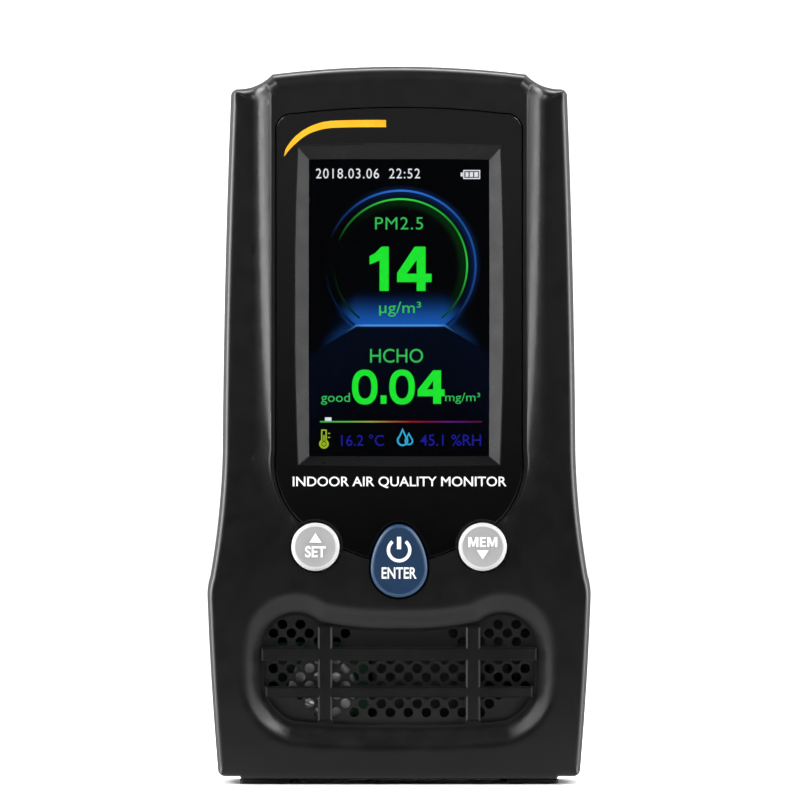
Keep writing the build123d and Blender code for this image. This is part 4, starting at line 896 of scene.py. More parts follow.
# ---------------------------------------------------------------- keys
def key_mesh(name, loop, profile, mat, rim, body, node, slot, centre, dish):
    """profile: (inset, y) rings from the back edge to the front face; the face dips towards its middle."""
    loop = np.asarray(loop, float)
    nr = normals(loop, 0.6)
    n = len(loop)
    verts, faces, mats = [], [], []
    rings = [(loop - nr * k, np.full(n, y)) for k, y in profile]
    last = rings[-1][0]
    c = np.array(centre)
    for s_ in (0.9, 0.78, 0.62, 0.45, 0.28, 0.12):
        pos = c + (last - c) * s_
        rings.append((pos, np.full(n, profile[-1][1] + dish * (1 - s_ ** 2))))
    for pos, yy in rings:
        verts += [(x, y, z) for (x, z), y in zip(pos, yy)]
    for i in range(len(rings) - 1):
        for j in range(n):
            a, b2 = i * n + j, i * n + (j + 1) % n
            faces.append((a, b2, b2 + n, a + n))
    verts.append((c[0], profile[-1][1] + dish, c[1]))
    e = len(verts) - 1
    k = (len(rings) - 1) * n
    for j in range(n):
        faces.append((k + j, k + (j + 1) % n, e))
    # closed back
    verts.append((c[0], profile[0][1], c[1]))
    bk = len(verts) - 1
    for j in range(n):
        faces.append((j, (j + 1) % n, bk))
    ob = make(name, verts, faces, 28)
    ob.data.materials.append(mat)
    ob.data.materials.append(rim)
    return ob


def round_profile(w=0.75, front=-20.97, low=-20.62):
    pts = [(0.55, -15.6), (0.55, -16.25), (0.0, -16.3)]
    pts = [(-0.0, -16.0), (0.0, -20.30), (0.05, -20.45), (0.16, -20.58), (0.30, low - 0.06)]
    pts += [(w * 0.62, -20.86), (w * 0.85, -20.95), (w, front), (w + 0.10, front + 0.005), (w + 0.22, front + 0.05)]
    return pts


def key_from(node, name, loop, centre, mat, rim, body, slot, w):
    prof = round_profile(w)
    ob = key_mesh(name, loop, prof, mat, rim, body, node, slot, centre, 0.10)
    c = np.array(centre)
    lp = np.asarray(loop, float)
    # faces on the rounded front rim take the lighter rim material, a painted highlight
    for p in ob.data.polygons:
        q = p.center / MM
        if q.y < -20.5 and -signed(lp, [(q.x, q.z)])[0] < w + 0.10:
            p.material_index = 1
    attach(ob, body)
    return ob


def stem_of(node, name, mat, body, slot):
    """The flange and stem behind the cap, kept from the CAD shape."""
    ob = refined(node, name, 0.15, 2, mat, body)
    return ob


set_cap = key_from("set_key", "set_cap", circle(-KEY_X, KEY_Z, KEY_R, 72)[::-1], (-KEY_X, KEY_Z), M["grey_key"], M["grey_rim"], "set_button", "key_grey", 0.75)
mem_cap = key_from("mem_key", "mem_cap", circle(KEY_X, KEY_Z, KEY_R, 72)[::-1], (KEY_X, KEY_Z), M["grey_key"], M["grey_rim"], "mem_button", "key_grey", 0.75)
ent_cap = key_from("enter_key", "enter_cap", enter_loop, (0, 47.4), M["navy_key"], M["navy_rim"], "enter_button", "key_navy", 0.62)


def key_base(node, name, loop, flange, centre, stem_c, stem_r, mat, body):
    """Flange and stem under a cap: flange from y -16.3 to -15.5, stem to -12.8."""
    lp = np.asarray(loop, float)
    nr = normals(lp, 0.6)
    n = len(lp)
    big = lp + nr * flange
    stem = np.array(circle(stem_c[0], stem_c[1], stem_r, n)[::-1])
    ang = np.arctan2(lp[:, 1] - stem_c[1], lp[:, 0] - stem_c[0])
    stem = np.stack([stem_c[0] + stem_r * np.cos(ang), stem_c[1] + stem_r * np.sin(ang)], axis=1)
    rings = [(lp * 0.999 + np.array(centre) * 0.001, -16.3), (big, -16.3), (big, -15.5), (stem, -15.5), (stem, -12.8)]
    verts, faces = [], []
    for pos, y in rings:
        verts += [(x, y, z) for x, z in pos]
    for i in range(len(rings) - 1):
        for j in range(n):
            a, b2 = i * n + j, i * n + (j + 1) % n
            faces.append((a, b2, b2 + n, a + n))
    for k, (px, pz), y in ((0, centre, -16.3), (len(rings) - 1, stem_c, -12.8)):
        verts.append((px, y, pz))
        e = len(verts) - 1
        for j in range(n):
            faces.append((k * n + j, k * n + (j + 1) % n, e))
    ob = make(name, verts, faces, 30)
    ob.data.materials.append(mat)
    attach(ob, body)
    return ob


set_base = key_base("set_key", "set_base", circle(-KEY_X, KEY_Z, KEY_R, 72)[::-1], 0.95, (-KEY_X, KEY_Z), (-KEY_X, KEY_Z), 2.2, M["grey_key"], "set_button")
mem_base = key_base("mem_key", "mem_base", circle(KEY_X, KEY_Z, KEY_R, 72)[::-1], 0.95, (KEY_X, KEY_Z), (KEY_X, KEY_Z), 2.2, M["grey_key"], "mem_button")
ent_base = key_base("enter_key", "enter_base", enter_loop, 0.95, (0, 47.4), (0, 48.0), 2.4, M["navy_key"], "enter_button")
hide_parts("set_key")
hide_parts("mem_key")
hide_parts("enter_key")


# ---------------------------------------------------------------- printing and display content
PX = 0.216


def mx(px):
    return (px - 399.0) * PX


def mz(py):
    return (783.5 - py) * PX


def text(name, body, box, y, mat, ride="housing", bold=0.0, thick=0.03, px=True, font_space=1.0):
    """Letters fitted to a box (left, top, right, bottom)."""
    cu = bpy.data.curves.new(name, "FONT")
    cu.body = body
    cu.size = 1.0
    cu.resolution_u = 4
    cu.offset = bold
    cu.space_character = font_space
    tmp = bpy.data.objects.new(name + "_t", cu)
    scene.collection.objects.link(tmp)
    deps = bpy.context.evaluated_depsgraph_get()
    deps.update()
    me = bpy.data.meshes.new_from_object(tmp.evaluated_get(deps))
    bpy.data.objects.remove(tmp)
    co = np.array([v.co[:] for v in me.vertices])
    lo, hi = co.min(axis=0), co.max(axis=0)
    x0, z1, x1, z0 = (mx(box[0]), mz(box[1]), mx(box[2]), mz(box[3])) if px else box
    verts = [(x0 + (p[0] - lo[0]) / (hi[0] - lo[0]) * (x1 - x0), y, z0 + (p[1] - lo[1]) / (hi[1] - lo[1]) * (z1 - z0)) for p in co]
    faces = [tuple(p.vertices) for p in me.polygons]
    bm = bmesh.new()
    vs = [bm.verts.new([c * MM for c in q]) for q in verts]
    for fc in faces:
        try:
            bm.faces.new([vs[i] for i in fc])
        except ValueError:
            pass
    bmesh.ops.remove_doubles(bm, verts=bm.verts, dist=1e-6)
    res = bmesh.ops.extrude_face_region(bm, geom=list(bm.faces))
    moved = [g for g in res["geom"] if isinstance(g, bmesh.types.BMVert)]
    bmesh.ops.translate(bm, verts=moved, vec=(0, -thick * MM, 0))
    bmesh.ops.recalc_face_normals(bm, faces=bm.faces)
    out = bpy.data.meshes.new(name)
    bm.to_mesh(out)
    bm.free()
    ob = bpy.data.objects.new(name, out)
    scene.collection.objects.link(ob)
    out.materials.append(mat)
    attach(ob, ride)
    return ob


def flat(name, loops, y, mat, ride="housing", thick=0.03):
    """Thin solid pieces from closed outlines in (x, z) millimetres; a (outer, inner) pair gives a ring."""
    verts, faces = [], []
    for lp in loops:
        if isinstance(lp, tuple):
            a, c = lp
            n = len(a)
            s = len(verts)
            for yy in (y, y - thick):
                verts += [(p[0], yy, p[1]) for p in a] + [(p[0], yy, p[1]) for p in c]
            for j in range(n):
                k = (j + 1) % n
                faces += [(s + j, s + k, s + n + k, s + n + j), (s + 2 * n + j, s + 2 * n + k, s + 3 * n + k, s + 3 * n + j),
                          (s + j, s + k, s + 2 * n + k, s + 2 * n + j), (s + n + j, s + n + k, s + 3 * n + k, s + 3 * n + j)]
        else:
            n = len(lp)
            s = len(verts)
            verts += [(p[0], y, p[1]) for p in lp] + [(p[0], y - thick, p[1]) for p in lp]
            faces += [tuple(s + i for i in range(n)), tuple(s + n + i for i in range(n))]
            faces += [(s + j, s + (j + 1) % n, s + n + (j + 1) % n, s + n + j) for j in range(n)]
    ob = make(name, verts, faces, 30, merge=0.0005)
    ob.data.materials.append(mat)
    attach(ob, ride)
    return ob


def band(cx, cz, r0, r1, a0, a1, n=60):
    """Closed outline of an arc band, angles in degrees."""
    out = [(cx + r1 * math.cos(math.radians(a0 + (a1 - a0) * i / n)), cz + r1 * math.sin(math.radians(a0 + (a1 - a0) * i / n))) for i in range(n + 1)]
    back = [(cx + r0 * math.cos(math.radians(a0 + (a1 - a0) * i / n)), cz + r0 * math.sin(math.radians(a0 + (a1 - a0) * i / n))) for i in range(n, -1, -1)]
    return out + back


def rect(x0, z0, x1, z1):
    return [(x0, z0), (x1, z0), (x1, z1), (x0, z1)]


PANEL_Y = -19.35
text("print_name", "INDOOR AIR QUALITY MONITOR", (293, 476.5, 506, 488), PANEL_Y, M["print"], bold=0.010)
# amber stripe, thick at the right, thinning to a point at the lower left
c_top = [mx(x) for x in (386, 360, 330, 315, 303, 293, 286, 284.5)]
z_top = [mz(y) for y in (121.0, 121.0, 122.0, 125.5, 131.5, 140.0, 150.0, 157.5)]
c_low = [mx(x) for x in (386, 360, 332, 318, 307, 297, 289, 284.5)]
z_low = [mz(y) for y in (128.2, 128.2, 129.0, 131.5, 136.0, 143.5, 151.5, 157.5)]


def spline(xs, zs, n):
    t = np.arange(len(xs))
    tt = np.linspace(0, len(xs) - 1, n)
    out = []
    for v in tt:
        i = min(int(v), len(xs) - 2)
        u = v - i
        i0, i3 = max(i - 1, 0), min(i + 2, len(xs) - 1)
        res = []
        for a in (xs, zs):
            p0, p1, p2, p3 = a[i0], a[i], a[i + 1], a[i3]
            res.append(0.5 * (2 * p1 + (p2 - p0) * u + (2 * p0 - 5 * p1 + 4 * p2 - p3) * u * u + (3 * p1 - p0 - 3 * p2 + p3) * u ** 3))
        out.append(tuple(res))
    return out


top_l, low_l = spline(c_top, z_top, 40), spline(c_low, z_low, 40)
sv, sf = [], []
for (a, b_) in zip(top_l, low_l):
    sv += [(a[0], PANEL_Y, a[1]), (b_[0], PANEL_Y, b_[1]), (a[0], PANEL_Y - 0.03, a[1]), (b_[0], PANEL_Y - 0.03, b_[1])]
for i in range(len(top_l) - 1):
    a, c = 4 * i, 4 * i + 4
    sf += [(a, c, c + 1, a + 1), (a + 2, a + 3, c + 3, c + 2), (a, a + 2, c + 2, c), (a + 1, c + 1, c + 3, a + 3)]
sf.append((0, 1, 3, 2))
stripe = make("print_stripe", sv, sf, 30, merge=0.0005)
stripe.data.materials.append(M["amber"])
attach(stripe, "housing")

# key legends
KY = -20.86
tri = lambda cx, z0, z1, hw: [(cx - hw, z0), (cx + hw, z0), (cx, z1)]
flat("legend_up", [tri(-18.0, 52.1, 54.2, 1.35)], KY, M["print"], "set_button", 0.135)
text("legend_set", "SET", (-20.25, 51.35, -15.75, 48.9), KY, M["print"], "set_button", bold=0.03, thick=0.135, px=False)
flat("legend_down", [[(18.0 - 1.3, 50.45), (18.0, 48.5), (18.0 + 1.3, 50.45)]], KY, M["print"], "mem_button", 0.135)
text("legend_enter", "ENTER", (-3.75, 46.8, 3.75, 44.35), KY, M["print"], "enter_button", bold=0.018, thick=0.135, px=False)
flat("legend_power", [band(0, 50.5, 1.95, 2.65, 128, 412, 48), rect(-0.45, 50.7, 0.45, 53.35)], KY, M["print"], "enter_button", 0.135)

# display
G = {
    "green": glow("lcd_green", lin("20F033"), 1.0),
    "green_dim": glow("lcd_green_dim", lin("3CD060"), 0.85),
    "white": glow("lcd_white", (0.85, 0.88, 0.92), 1.0),
    "indigo": glow("lcd_indigo", lin("2424B8"), 0.62),
    "cyan": glow("lcd_cyan", lin("38B8E8"), 0.9),
    "lime": glow("lcd_lime", lin("A8C828"), 0.9),
}


def polar_glow(name, cx, cz, stops, strength):
    """Emission that changes with the angle round a centre. stops: (turn 0..1 from -X anticlockwise, colour)."""
    m = bpy.data.materials.new(name)
    nt, b = nodes_of(m)
    N, L = nt.nodes, nt.links
    tc = N.new("ShaderNodeTexCoord")
    sub = N.new("ShaderNodeVectorMath")
    sub.operation = "SUBTRACT"
    sub.inputs[1].default_value = (cx * MM, 0, cz * MM)
    L.new(tc.outputs["Object"], sub.inputs[0])
    sep = N.new("ShaderNodeSeparateXYZ")
    L.new(sub.outputs["Vector"], sep.inputs["Vector"])
    at = N.new("ShaderNodeMath")
    at.operation = "ARCTAN2"
    L.new(sep.outputs["Z"], at.inputs[0])
    L.new(sep.outputs["X"], at.inputs[1])
    mr = N.new("ShaderNodeMapRange")
    mr.inputs["From Min"].default_value = -math.pi
    mr.inputs["From Max"].default_value = math.pi
    L.new(at.outputs["Value"], mr.inputs["Value"])
    ramp = N.new("ShaderNodeValToRGB")
    e = ramp.color_ramp.elements
    while len(e) < len(stops):
        e.new(0.5)
    for el, (p, c) in zip(e, stops):
        el.position = p
        el.color = (*c, 1)
    L.new(mr.outputs["Result"], ramp.inputs["Fac"])
    L.new(ramp.outputs["Color"], b.inputs["Emission Color"])
    b.inputs["Emission Strength"].default_value = strength
    b.inputs["Base Color"].default_value = (0, 0, 0, 1)
    b.inputs["Specular IOR Level"].default_value = 0.0
    return m


def scale(c, k):
    return tuple(v * k for v in c)


LY = -15.36


def oval(cx, cy, a, b_, n=44):
    return [(cx + a * abs(math.cos(t)) ** 0.86 * math.copysign(1, math.cos(t)), cy + b_ * abs(math.sin(t)) ** 0.86 * math.copysign(1, math.sin(t)))
            for t in (2 * math.pi * i / n for i in range(n))]


def outlines(name, loops, y, thick, mat, body):
    """A thin solid from closed outlines in (x, z) millimetres; inner outlines are holes."""
    cu = bpy.data.curves.new(name, "CURVE")
    cu.dimensions = "2D"
    cu.fill_mode = "BOTH"
    for lp in loops:
        sp = cu.splines.new("POLY")
        sp.points.add(len(lp) - 1)
        for q, (px_, py_) in zip(sp.points, lp):
            q.co = (px_, py_, 0, 1)
        sp.use_cyclic_u = True
    tmp = bpy.data.objects.new(name + "_t", cu)
    scene.collection.objects.link(tmp)
    deps = bpy.context.evaluated_depsgraph_get()
    deps.update()
    me = bpy.data.meshes.new_from_object(tmp.evaluated_get(deps))
    bpy.data.objects.remove(tmp)
    bm = bmesh.new()
    bm.from_mesh(me)
    for v_ in bm.verts:
        v_.co = (v_.co.x * MM, y * MM, v_.co.y * MM)
    bmesh.ops.remove_doubles(bm, verts=bm.verts, dist=1e-7)
    res = bmesh.ops.extrude_face_region(bm, geom=list(bm.faces))
    moved = [g for g in res["geom"] if isinstance(g, bmesh.types.BMVert)]
    bmesh.ops.translate(bm, verts=moved, vec=(0, -thick * MM, 0))
    bmesh.ops.recalc_face_normals(bm, faces=bm.faces)
    out = bpy.data.meshes.new(name)
    bm.to_mesh(out)
    bm.free()
    out.materials.append(mat)
    ob = bpy.data.objects.new(name, out)
    scene.collection.objects.link(ob)
    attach(ob, body)
    return ob


def digits(name, loops, mat):
    """Figures drawn on a fine grid, four steps to a display unit, origin at 270, 80."""
    return outlines(name, [[(mx(270 + a_ / 4), mz(80 + c_ / 4)) for a_, c_ in lp] for lp in loops], LY, 0.03, mat, "housing")


CX, CZ = mx(400.5), mz(266.0)
# turn: 0 = -X, 0.25 = down, 0.5 = +X, 0.75 = up, 1 = -X
bl = lin("2E74E0")
blue_ring = polar_glow("lcd_blue_ring", CX, CZ, [
    (0.0, scale(bl, 0.0)), (0.14, scale(bl, 0.07)), (0.30, scale(bl, 0.10)), (0.38, scale(bl, 0.08)), (0.5, scale(bl, 0.42)),
    (0.60, scale(bl, 0.42)), (0.75, scale(bl, 1.0)), (0.86, scale(bl, 0.22)), (0.94, scale(bl, 0.0))], 1.0)
gr = lin("38E050")
green_ring = polar_glow("lcd_green_ring", CX, CZ, [
    (0.0, scale(gr, 0.0)), (0.12, scale(gr, 0.035)), (0.30, scale(gr, 0.02)), (0.42, scale(gr, 0.12)), (0.5, scale(gr, 0.80)),
    (0.60, scale(gr, 0.35)), (0.75, scale(gr, 1.0)), (0.86, scale(gr, 0.30)), (0.94, scale(gr, 0.0))], 1.0)


def ring_pair(cx, cz, r, w, n=144):
    return (circle(cx, cz, r + w / 2, n), circle(cx, cz, r - w / 2, n))


cut_ang = 38.0
flat("ui_ring_blue", [band(CX, CZ, 15.95, 16.40, -52, 232, 140)], LY, blue_ring)
flat("ui_ring_green", [band(CX, CZ, 14.15, 14.55, -52, 232, 140)], LY, green_ring)
text("ui_date", "2018.03.06", (316, 169, 379, 179), LY, G["white"], bold=0.003, font_space=1.15)
text("ui_time", "22:52", (389, 169, 420, 179), LY, G["white"], bold=0.003, font_space=1.15)
bx0, bx1, bz0, bz1 = mx(463), mx(480), mz(179.5), mz(170.5)
flat("ui_battery", [(rect(bx0, bz0, bx1, bz1), rect(bx0 + 0.25, bz0 + 0.25, bx1 - 0.25, bz1 - 0.25)), rect(bx0 - 0.55, bz0 + 0.55, bx0 - 0.08, bz1 - 0.55),
                    rect(bx0 + 0.5, bz0 + 0.45, bx0 + 1.15, bz1 - 0.45), rect(bx0 + 1.4, bz0 + 0.45, bx0 + 2.15, bz1 - 0.45), rect(bx0 + 2.4, bz0 + 0.45, bx1 - 0.45, bz1 - 0.45)], LY, G["white"])
text("ui_pm", "PM2.5", (375, 217.5, 423, 230), LY, G["green_dim"], font_space=1.1)
digits("ui_pm_value", [
    [(475, 668), (475, 845), (438, 845), (438, 724), (398, 740), (398, 706), (420, 694), (446, 668)],
    [(578, 668), (622, 668), (622, 776), (646, 776), (646, 810), (622, 810), (622, 845), (586, 845), (586, 810), (508, 810), (508, 774)],
    [(586, 776), (586, 722), (546, 776)]], G["green"])
text("ui_pm_unit", "\u00b5g/m\u00b3", (379, 302, 421, 317), LY, G["green_dim"], bold=0.006)
text("ui_hcho", "HCHO", (370, 349, 423, 363), LY, G["green_dim"], bold=0.004)
digits("ui_hcho_value", [
    oval(379, 1229, 51, 70), oval(379, 1229, 26, 46),
    [(442, 1262), (466, 1262), (466, 1296), (442, 1296)],
    oval(528, 1229, 51, 70), oval(528, 1229, 26, 46),
    [(652, 1162), (684, 1162), (684, 1238), (698, 1238), (698, 1266), (684, 1266), (684, 1296), (652, 1296), (652, 1266), (590, 1266), (590, 1240)],
    [(652, 1238), (652, 1204), (628, 1238)]], G["green"])
text("ui_good", "good", (321, 393, 350, 405), LY, G["green_dim"], bold=0.004)
text("ui_hcho_unit", "mg/m\u00b3", (445, 393, 480, 404), LY, G["green_dim"], bold=0.004)
text("ui_temp", "16.2 \u00b0C", (341, 434.5, 384, 446), LY, G["indigo"], bold=0.004)
text("ui_rh", "45.1 %RH", (420, 434.5, 481, 446), LY, G["indigo"], bold=0.004)
flat("ui_marker", [rect(mx(325), mz(421), mx(331.5), mz(417.5))], LY, G["white"])
# level bar with a colour run along X
bar_m = bpy.data.materials.new("lcd_level_bar")
nt, b = nodes_of(bar_m)
tcn = nt.nodes.new("ShaderNodeTexCoord")
sep = nt.nodes.new("ShaderNodeSeparateXYZ")
nt.links.new(tcn.outputs["Object"], sep.inputs["Vector"])
mr = nt.nodes.new("ShaderNodeMapRange")
mr.inputs["From Min"].default_value = mx(320) * MM
mr.inputs["From Max"].default_value = mx(482) * MM
nt.links.new(sep.outputs["X"], mr.inputs["Value"])
ramp = nt.nodes.new("ShaderNodeValToRGB")
els = ramp.color_ramp.elements
stops = [(0.0, "38C048"), (0.18, "60B848"), (0.32, "A8A848"), (0.45, "A85828"), (0.56, "A01828"), (0.68, "7C1048"), (0.80, "64148C"), (1.0, "58102C")]
while len(els) < len(stops):
    els.new(0.5)
for el, (p, c) in zip(els, stops):
    el.position = p
    el.color = (*lin(c), 1)
nt.links.new(mr.outputs["Result"], ramp.inputs["Fac"])
nt.links.new(ramp.outputs["Color"], b.inputs["Emission Color"])
b.inputs["Emission Strength"].default_value = 1.0
b.inputs["Base Color"].default_value = (0, 0, 0, 1)
b.inputs["Specular IOR Level"].default_value = 0.0
flat("ui_level_bar", [rect(mx(320), mz(422.6), mx(482), mz(421.1))], LY, bar_m)
# thermometer and drop icons
tx, tz = mx(324), mz(444)
flat("ui_thermometer", [band(tx, tz, 0.55, 1.05, 115, 425, 30), rect(tx - 0.62, tz + 0.75, tx - 0.32, mz(431)), rect(tx + 0.32, tz + 0.75, tx + 0.62, mz(431)),
                        rect(tx - 0.62, mz(431) + 0.02, tx + 0.62, mz(430) + 0.1), rect(tx - 0.16, tz + 0.60, tx + 0.16, tz + 1.9), band(tx, tz, 0.06, 0.42, 0, 358, 20),
                        rect(tx + 0.85, mz(434), tx + 1.35, mz(433)), rect(tx + 0.85, mz(438), tx + 1.35, mz(437))], LY, G["lime"])


def drop(cx, cz, r, h, n=28):
    pts = []
    for i in range(n):
        a = math.radians(-230 + 280 * i / (n - 1))
        pts.append((cx + r * math.cos(a), cz + r * math.sin(a)))
    return pts + [(cx, cz + h)]


d1, d2 = (mx(402.5), mz(440.5)), (mx(408.8), mz(441.0))
flat("ui_drop", [(drop(d1[0], d1[1], 1.25, 2.7), drop(d1[0], d1[1], 0.85, 1.9)), (drop(d2[0], d2[1], 0.95, 1.9), drop(d2[0], d2[1], 0.6, 1.25))], LY, G["cyan"])

LM = [(0, 0), (0, 2.15), (0.66, 2.15), (1.1, 0.85), (1.54, 2.15), (2.2, 2.15), (2.2, 0), (1.70, 0), (1.70, 1.32), (1.28, 0.1), (0.92, 0.1), (0.50, 1.32), (0.50, 0)]
LE = [(0, 0), (0, 2.15), (1.35, 2.15), (1.35, 1.73), (0.52, 1.73), (0.52, 1.30), (1.25, 1.30), (1.25, 0.90), (0.52, 0.90), (0.52, 0.42), (1.35, 0.42), (1.35, 0)]
outlines("legend_mem", [[(14.88 + x, 51.15 + z) for x, z in LM], [(17.35 + x, 51.15 + z) for x, z in LE], [(18.95 + x, 51.15 + z) for x, z in LM]], KY, 0.135, M["print"], "mem_button")

# the glow behind the readings: one sheet with a computed colour
sheet_m = bpy.data.materials.new("lcd_backdrop")
nt, b = nodes_of(sheet_m)
N, L = nt.nodes, nt.links
tcn = N.new("ShaderNodeTexCoord")
sepn = N.new("ShaderNodeSeparateXYZ")
L.new(tcn.outputs["Object"], sepn.inputs["Vector"])


def math_node(op, a, b_=None, clamp=False):
    n_ = N.new("ShaderNodeMath")
    n_.operation = op
    n_.use_clamp = clamp
    for i, v in enumerate((a, b_)):
        if v is None:
            continue
        if isinstance(v, (int, float)):
            n_.inputs[i].default_value = v
        else:
            L.new(v, n_.inputs[i])
    return n_.outputs["Value"]


def ramp_of(val, lo, hi):
    r_ = N.new("ShaderNodeMapRange")
    r_.interpolation_type = "SMOOTHSTEP"
    r_.inputs["From Min"].default_value = lo
    r_.inputs["From Max"].default_value = hi
    L.new(val, r_.inputs["Value"])
    return r_.outputs["Result"]


X_, Z_ = sepn.outputs["X"], sepn.outputs["Z"]
dx_ = math_node("SUBTRACT", X_, CX * MM)
adx = math_node("ABSOLUTE", dx_)
dz_ = math_node("SUBTRACT", Z_, CZ * MM)
rad = math_node("SQRT", math_node("ADD", math_node("MULTIPLY", dx_, dx_), math_node("MULTIPLY", dz_, dz_)))
line_z = mz(326.5) * MM
# the horizon: level in the middle, falling away at both sides
slope = math_node("MULTIPLY", math_node("MAXIMUM", math_node("SUBTRACT", adx, mx(443) * MM), 0.0), 0.62)
hz = math_node("SUBTRACT", Z_, math_node("SUBTRACT", line_z, slope))
above = ramp_of(hz, -0.00012, 0.00016)
fade_up = math_node("SUBTRACT", 1.0, ramp_of(hz, 0.0, 0.0088))
fade_side = math_node("SUBTRACT", 1.0, ramp_of(adx, 0.0070, 0.0172))
in_ring = math_node("SUBTRACT", 1.0, ramp_of(rad, 0.0150, 0.0176))
pool = math_node("MULTIPLY", math_node("MULTIPLY", above, math_node("POWER", fade_up, 1.7)), math_node("MAXIMUM", in_ring, math_node("MULTIPLY", fade_side, 0.10)))
flare_z = math_node("SUBTRACT", 1.0, ramp_of(hz, 0.0, 0.0030))
flare_x = math_node("MULTIPLY", ramp_of(adx, 0.0085, 0.0125), math_node("SUBTRACT", 1.0, ramp_of(adx, 0.0125, 0.0180)))
flare = math_node("MULTIPLY", math_node("MULTIPLY", above, flare_z), math_node("MULTIPLY", flare_x, 0.15))
below = math_node("MULTIPLY", math_node("SUBTRACT", 1.0, above), math_node("SUBTRACT", 1.0, ramp_of(math_node("MULTIPLY", hz, -1.0), 0.0, 0.026)))
edge_line_ = math_node("MULTIPLY", math_node("SUBTRACT", 1.0, ramp_of(math_node("ABSOLUTE", math_node("SUBTRACT", hz, 0.00015)), 0.0, 0.00040)), math_node("SUBTRACT", 1.0, ramp_of(adx, 0.0070, 0.0125)))
halo = math_node("SUBTRACT", 1.0, ramp_of(math_node("ABSOLUTE", math_node("SUBTRACT", rad, 0.0160)), 0.0, 0.0016))
halo_up = math_node("MULTIPLY", halo, ramp_of(math_node("ADD", dz_, dx_), -0.006, 0.022))
ghalo = math_node("SUBTRACT", 1.0, ramp_of(math_node("ABSOLUTE", math_node("SUBTRACT", rad, 0.0136)), 0.0, 0.0016))
ghalo_up = math_node("MULTIPLY", ghalo, ramp_of(math_node("ADD", dz_, dx_), -0.006, 0.020))


def tint(fac, colour):
    v = N.new("ShaderNodeVectorMath")
    v.operation = "SCALE"
    v.inputs[0].default_value = colour
    L.new(fac, v.inputs["Scale"])
    return v.outputs["Vector"]


def addv(a, b_):
    v = N.new("ShaderNodeVectorMath")
    v.operation = "ADD"
    L.new(a, v.inputs[0])
    L.new(b_, v.inputs[1])
    return v.outputs["Vector"]


nz = N.new("ShaderNodeTexNoise")
nz.inputs["Scale"].default_value = 60.0
L.new(tcn.outputs["Object"], nz.inputs["Vector"])
base_v = tint(nz.outputs["Fac"], (0.0004, 0.0007, 0.0016))
tot = addv(base_v, tint(pool, lin("1858B0")))
tot = addv(tot, tint(flare, lin("1C60B8")))
tot = addv(tot, tint(below, (0.0003, 0.0016, 0.0075)))
tot = addv(tot, tint(edge_line_, (0.06, 0.24, 0.52)))
tot = addv(tot, tint(halo_up, (0.002, 0.012, 0.055)))
tot = addv(tot, tint(ghalo_up, (0.0006, 0.020, 0.002)))
L.new(tot, b.inputs["Emission Color"])
b.inputs["Emission Strength"].default_value = 1.0
b.inputs["Base Color"].default_value = (0.0005, 0.0006, 0.0008, 1)
b.inputs["Specular IOR Level"].default_value = 0.0
b.inputs["Roughness"].default_value = 0.5
flat("ui_backdrop", [rect(-19.6, 70.2, 19.6, 135.1)], -15.32, sheet_m, thick=0.02)

# ---------------------------------------------------------------- lights, floor, camera
cam_d = bpy.data.cameras.new("camera")
cam_d.lens = 500
cam_d.sensor_width = 36
cam = bpy.data.objects.new("camera", cam_d)
scene.collection.objects.link(cam)
cam.location = (0.0002, -2.412, 0.0828)
cam.rotation_euler = (math.radians(90), 0, 0)
scene.camera = cam

fm = bpy.data.materials.new("floor_pale_painted_front_shade")
nt, b = nodes_of(fm)
tcn = nt.nodes.new("ShaderNodeTexCoord")
sep = nt.nodes.new("ShaderNodeSeparateXYZ")
nt.links.new(tcn.outputs["Object"], sep.inputs["Vector"])
nzz = nt.nodes.new("ShaderNodeTexNoise")
nzz.inputs["Scale"].default_value = 2.0
nt.links.new(tcn.outputs["Object"], nzz.inputs["Vector"])
# painted shade on the floor: dark in front of the object, pale from Y -0.06 m back
mr = nt.nodes.new("ShaderNodeMapRange")
mr.inputs["From Min"].default_value = -0.14
mr.inputs["From Max"].default_value = -0.06
mr.inputs["To Min"].default_value = 0.0
mr.inputs["To Max"].default_value = 1.0
nt.links.new(sep.outputs["Y"], mr.inputs["Value"])
add = nt.nodes.new("ShaderNodeMath")
add.operation = "MULTIPLY_ADD"
add.inputs[1].default_value = 0.03
nt.links.new(nzz.outputs["Fac"], add.inputs[0])
nt.links.new(mr.outputs["Result"], add.inputs[2])
ramp = nt.nodes.new("ShaderNodeValToRGB")
ramp.color_ramp.elements[0].color = (0.16, 0.16, 0.16, 1)
ramp.color_ramp.elements[1].color = (0.80, 0.80, 0.80, 1)
nt.links.new(add.outputs["Value"], ramp.inputs["Fac"])
nt.links.new(ramp.outputs["Color"], b.inputs["Base Color"])
b.inputs["Roughness"].default_value = 0.7
me = bpy.data.meshes.new("floor")
prof = [(0.0, 0.0), (0.3, 0.0), (1.0, 0.0), (2.6, 0.0), (3.2, 0.03), (3.7, 0.14), (4.1, 0.35), (4.35, 0.7), (4.45, 1.2), (4.5, 3.2)]
SEG = 96
fv, ff = [(0.0, 0.0, 0.0)], []
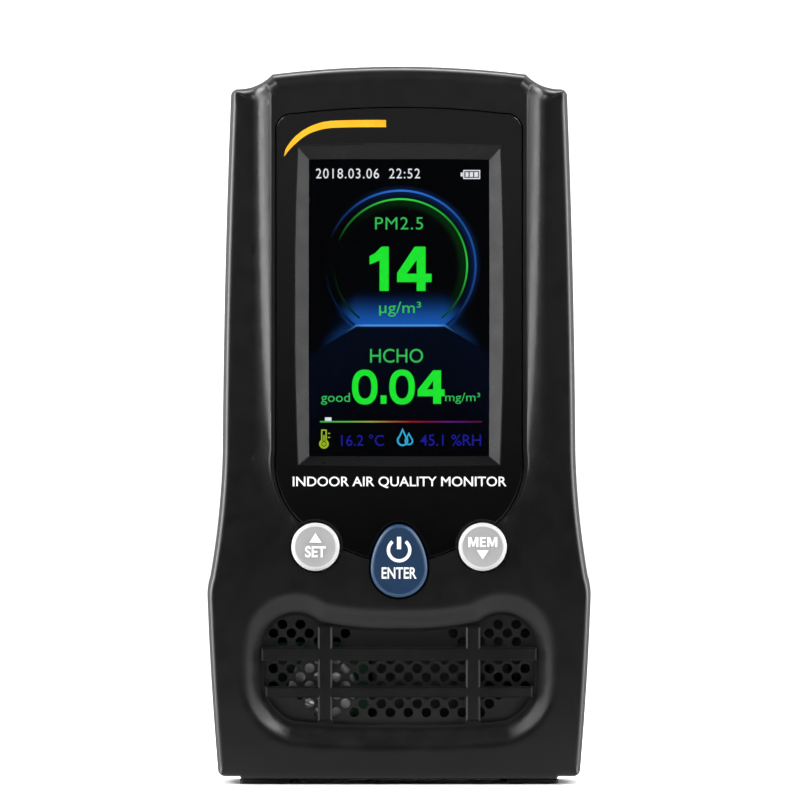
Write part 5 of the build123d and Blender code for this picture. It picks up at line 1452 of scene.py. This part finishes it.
for r_, z_ in prof[1:]:
    for i in range(SEG):
        a_ = 2 * math.pi * i / SEG
        fv.append((r_ * math.cos(a_), r_ * math.sin(a_), z_))
for i in range(SEG):
    ff.append((0, 1 + i, 1 + (i + 1) % SEG))
for k in range(len(prof) - 2):
    for i in range(SEG):
        a_, c_ = 1 + k * SEG + i, 1 + k * SEG + (i + 1) % SEG
        ff.append((a_, a_ + SEG, c_ + SEG, c_))
me.from_pydata(fv, [], ff)
for p in me.polygons:
    p.use_smooth = True
floor = bpy.data.objects.new("floor", me)
scene.collection.objects.link(floor)
floor.data.materials.append(fm)


def area(name, loc, target, sx, sy, power, colour=(1, 1, 1)):
    d = bpy.data.lights.new(name, "AREA")
    d.shape = "RECTANGLE"
    d.size, d.size_y = sx, sy
    d.energy = power
    d.color = colour
    o = bpy.data.objects.new(name, d)
    o.location = loc
    o.rotation_euler = (Vector(target) - Vector(loc)).to_track_quat("-Z", "Y").to_euler()
    scene.collection.objects.link(o)
    return o


T = (0, 0, 0.085)
area("side_left", (-0.60, 0.06, 0.20), T, 0.80, 0.60, 16.0)
area("side_right", (0.60, 0.06, 0.20), T, 0.80, 0.60, 12.5)
area("fill_left", (-0.60, -0.66, 0.56), T, 0.30, 0.42, 2.9)
area("fill_right", (0.60, -0.66, 0.56), T, 0.30, 0.42, 2.5)
area("kick_left", (-0.40, -0.42, 0.62), (0, 0, 0.03), 0.14, 0.14, 1.4)
area("kick_right", (0.40, -0.42, 0.62), (0, 0, 0.03), 0.14, 0.14, 1.8)
area("top_soft", (0, 0.45, 0.80), (0, 0.25, 0.05), 1.2, 0.6, 4.0)
area("back_wash", (0, 3.5, 1.1), (0, 4.35, 0.15), 1.2, 0.4, 14.0)
area("floor_wash", (0, 1.9, 1.3), (0, 1.9, 0.0), 1.0, 2.4, 42.0)

w = bpy.data.worlds.new("studio")
scene.world = w
w.use_nodes = True
w.node_tree.nodes["Background"].inputs[0].default_value = (1, 1, 1, 1)
w.node_tree.nodes["Background"].inputs[1].default_value = 0.05
scene.view_settings.view_transform = "Standard"
scene.view_settings.look = "None"
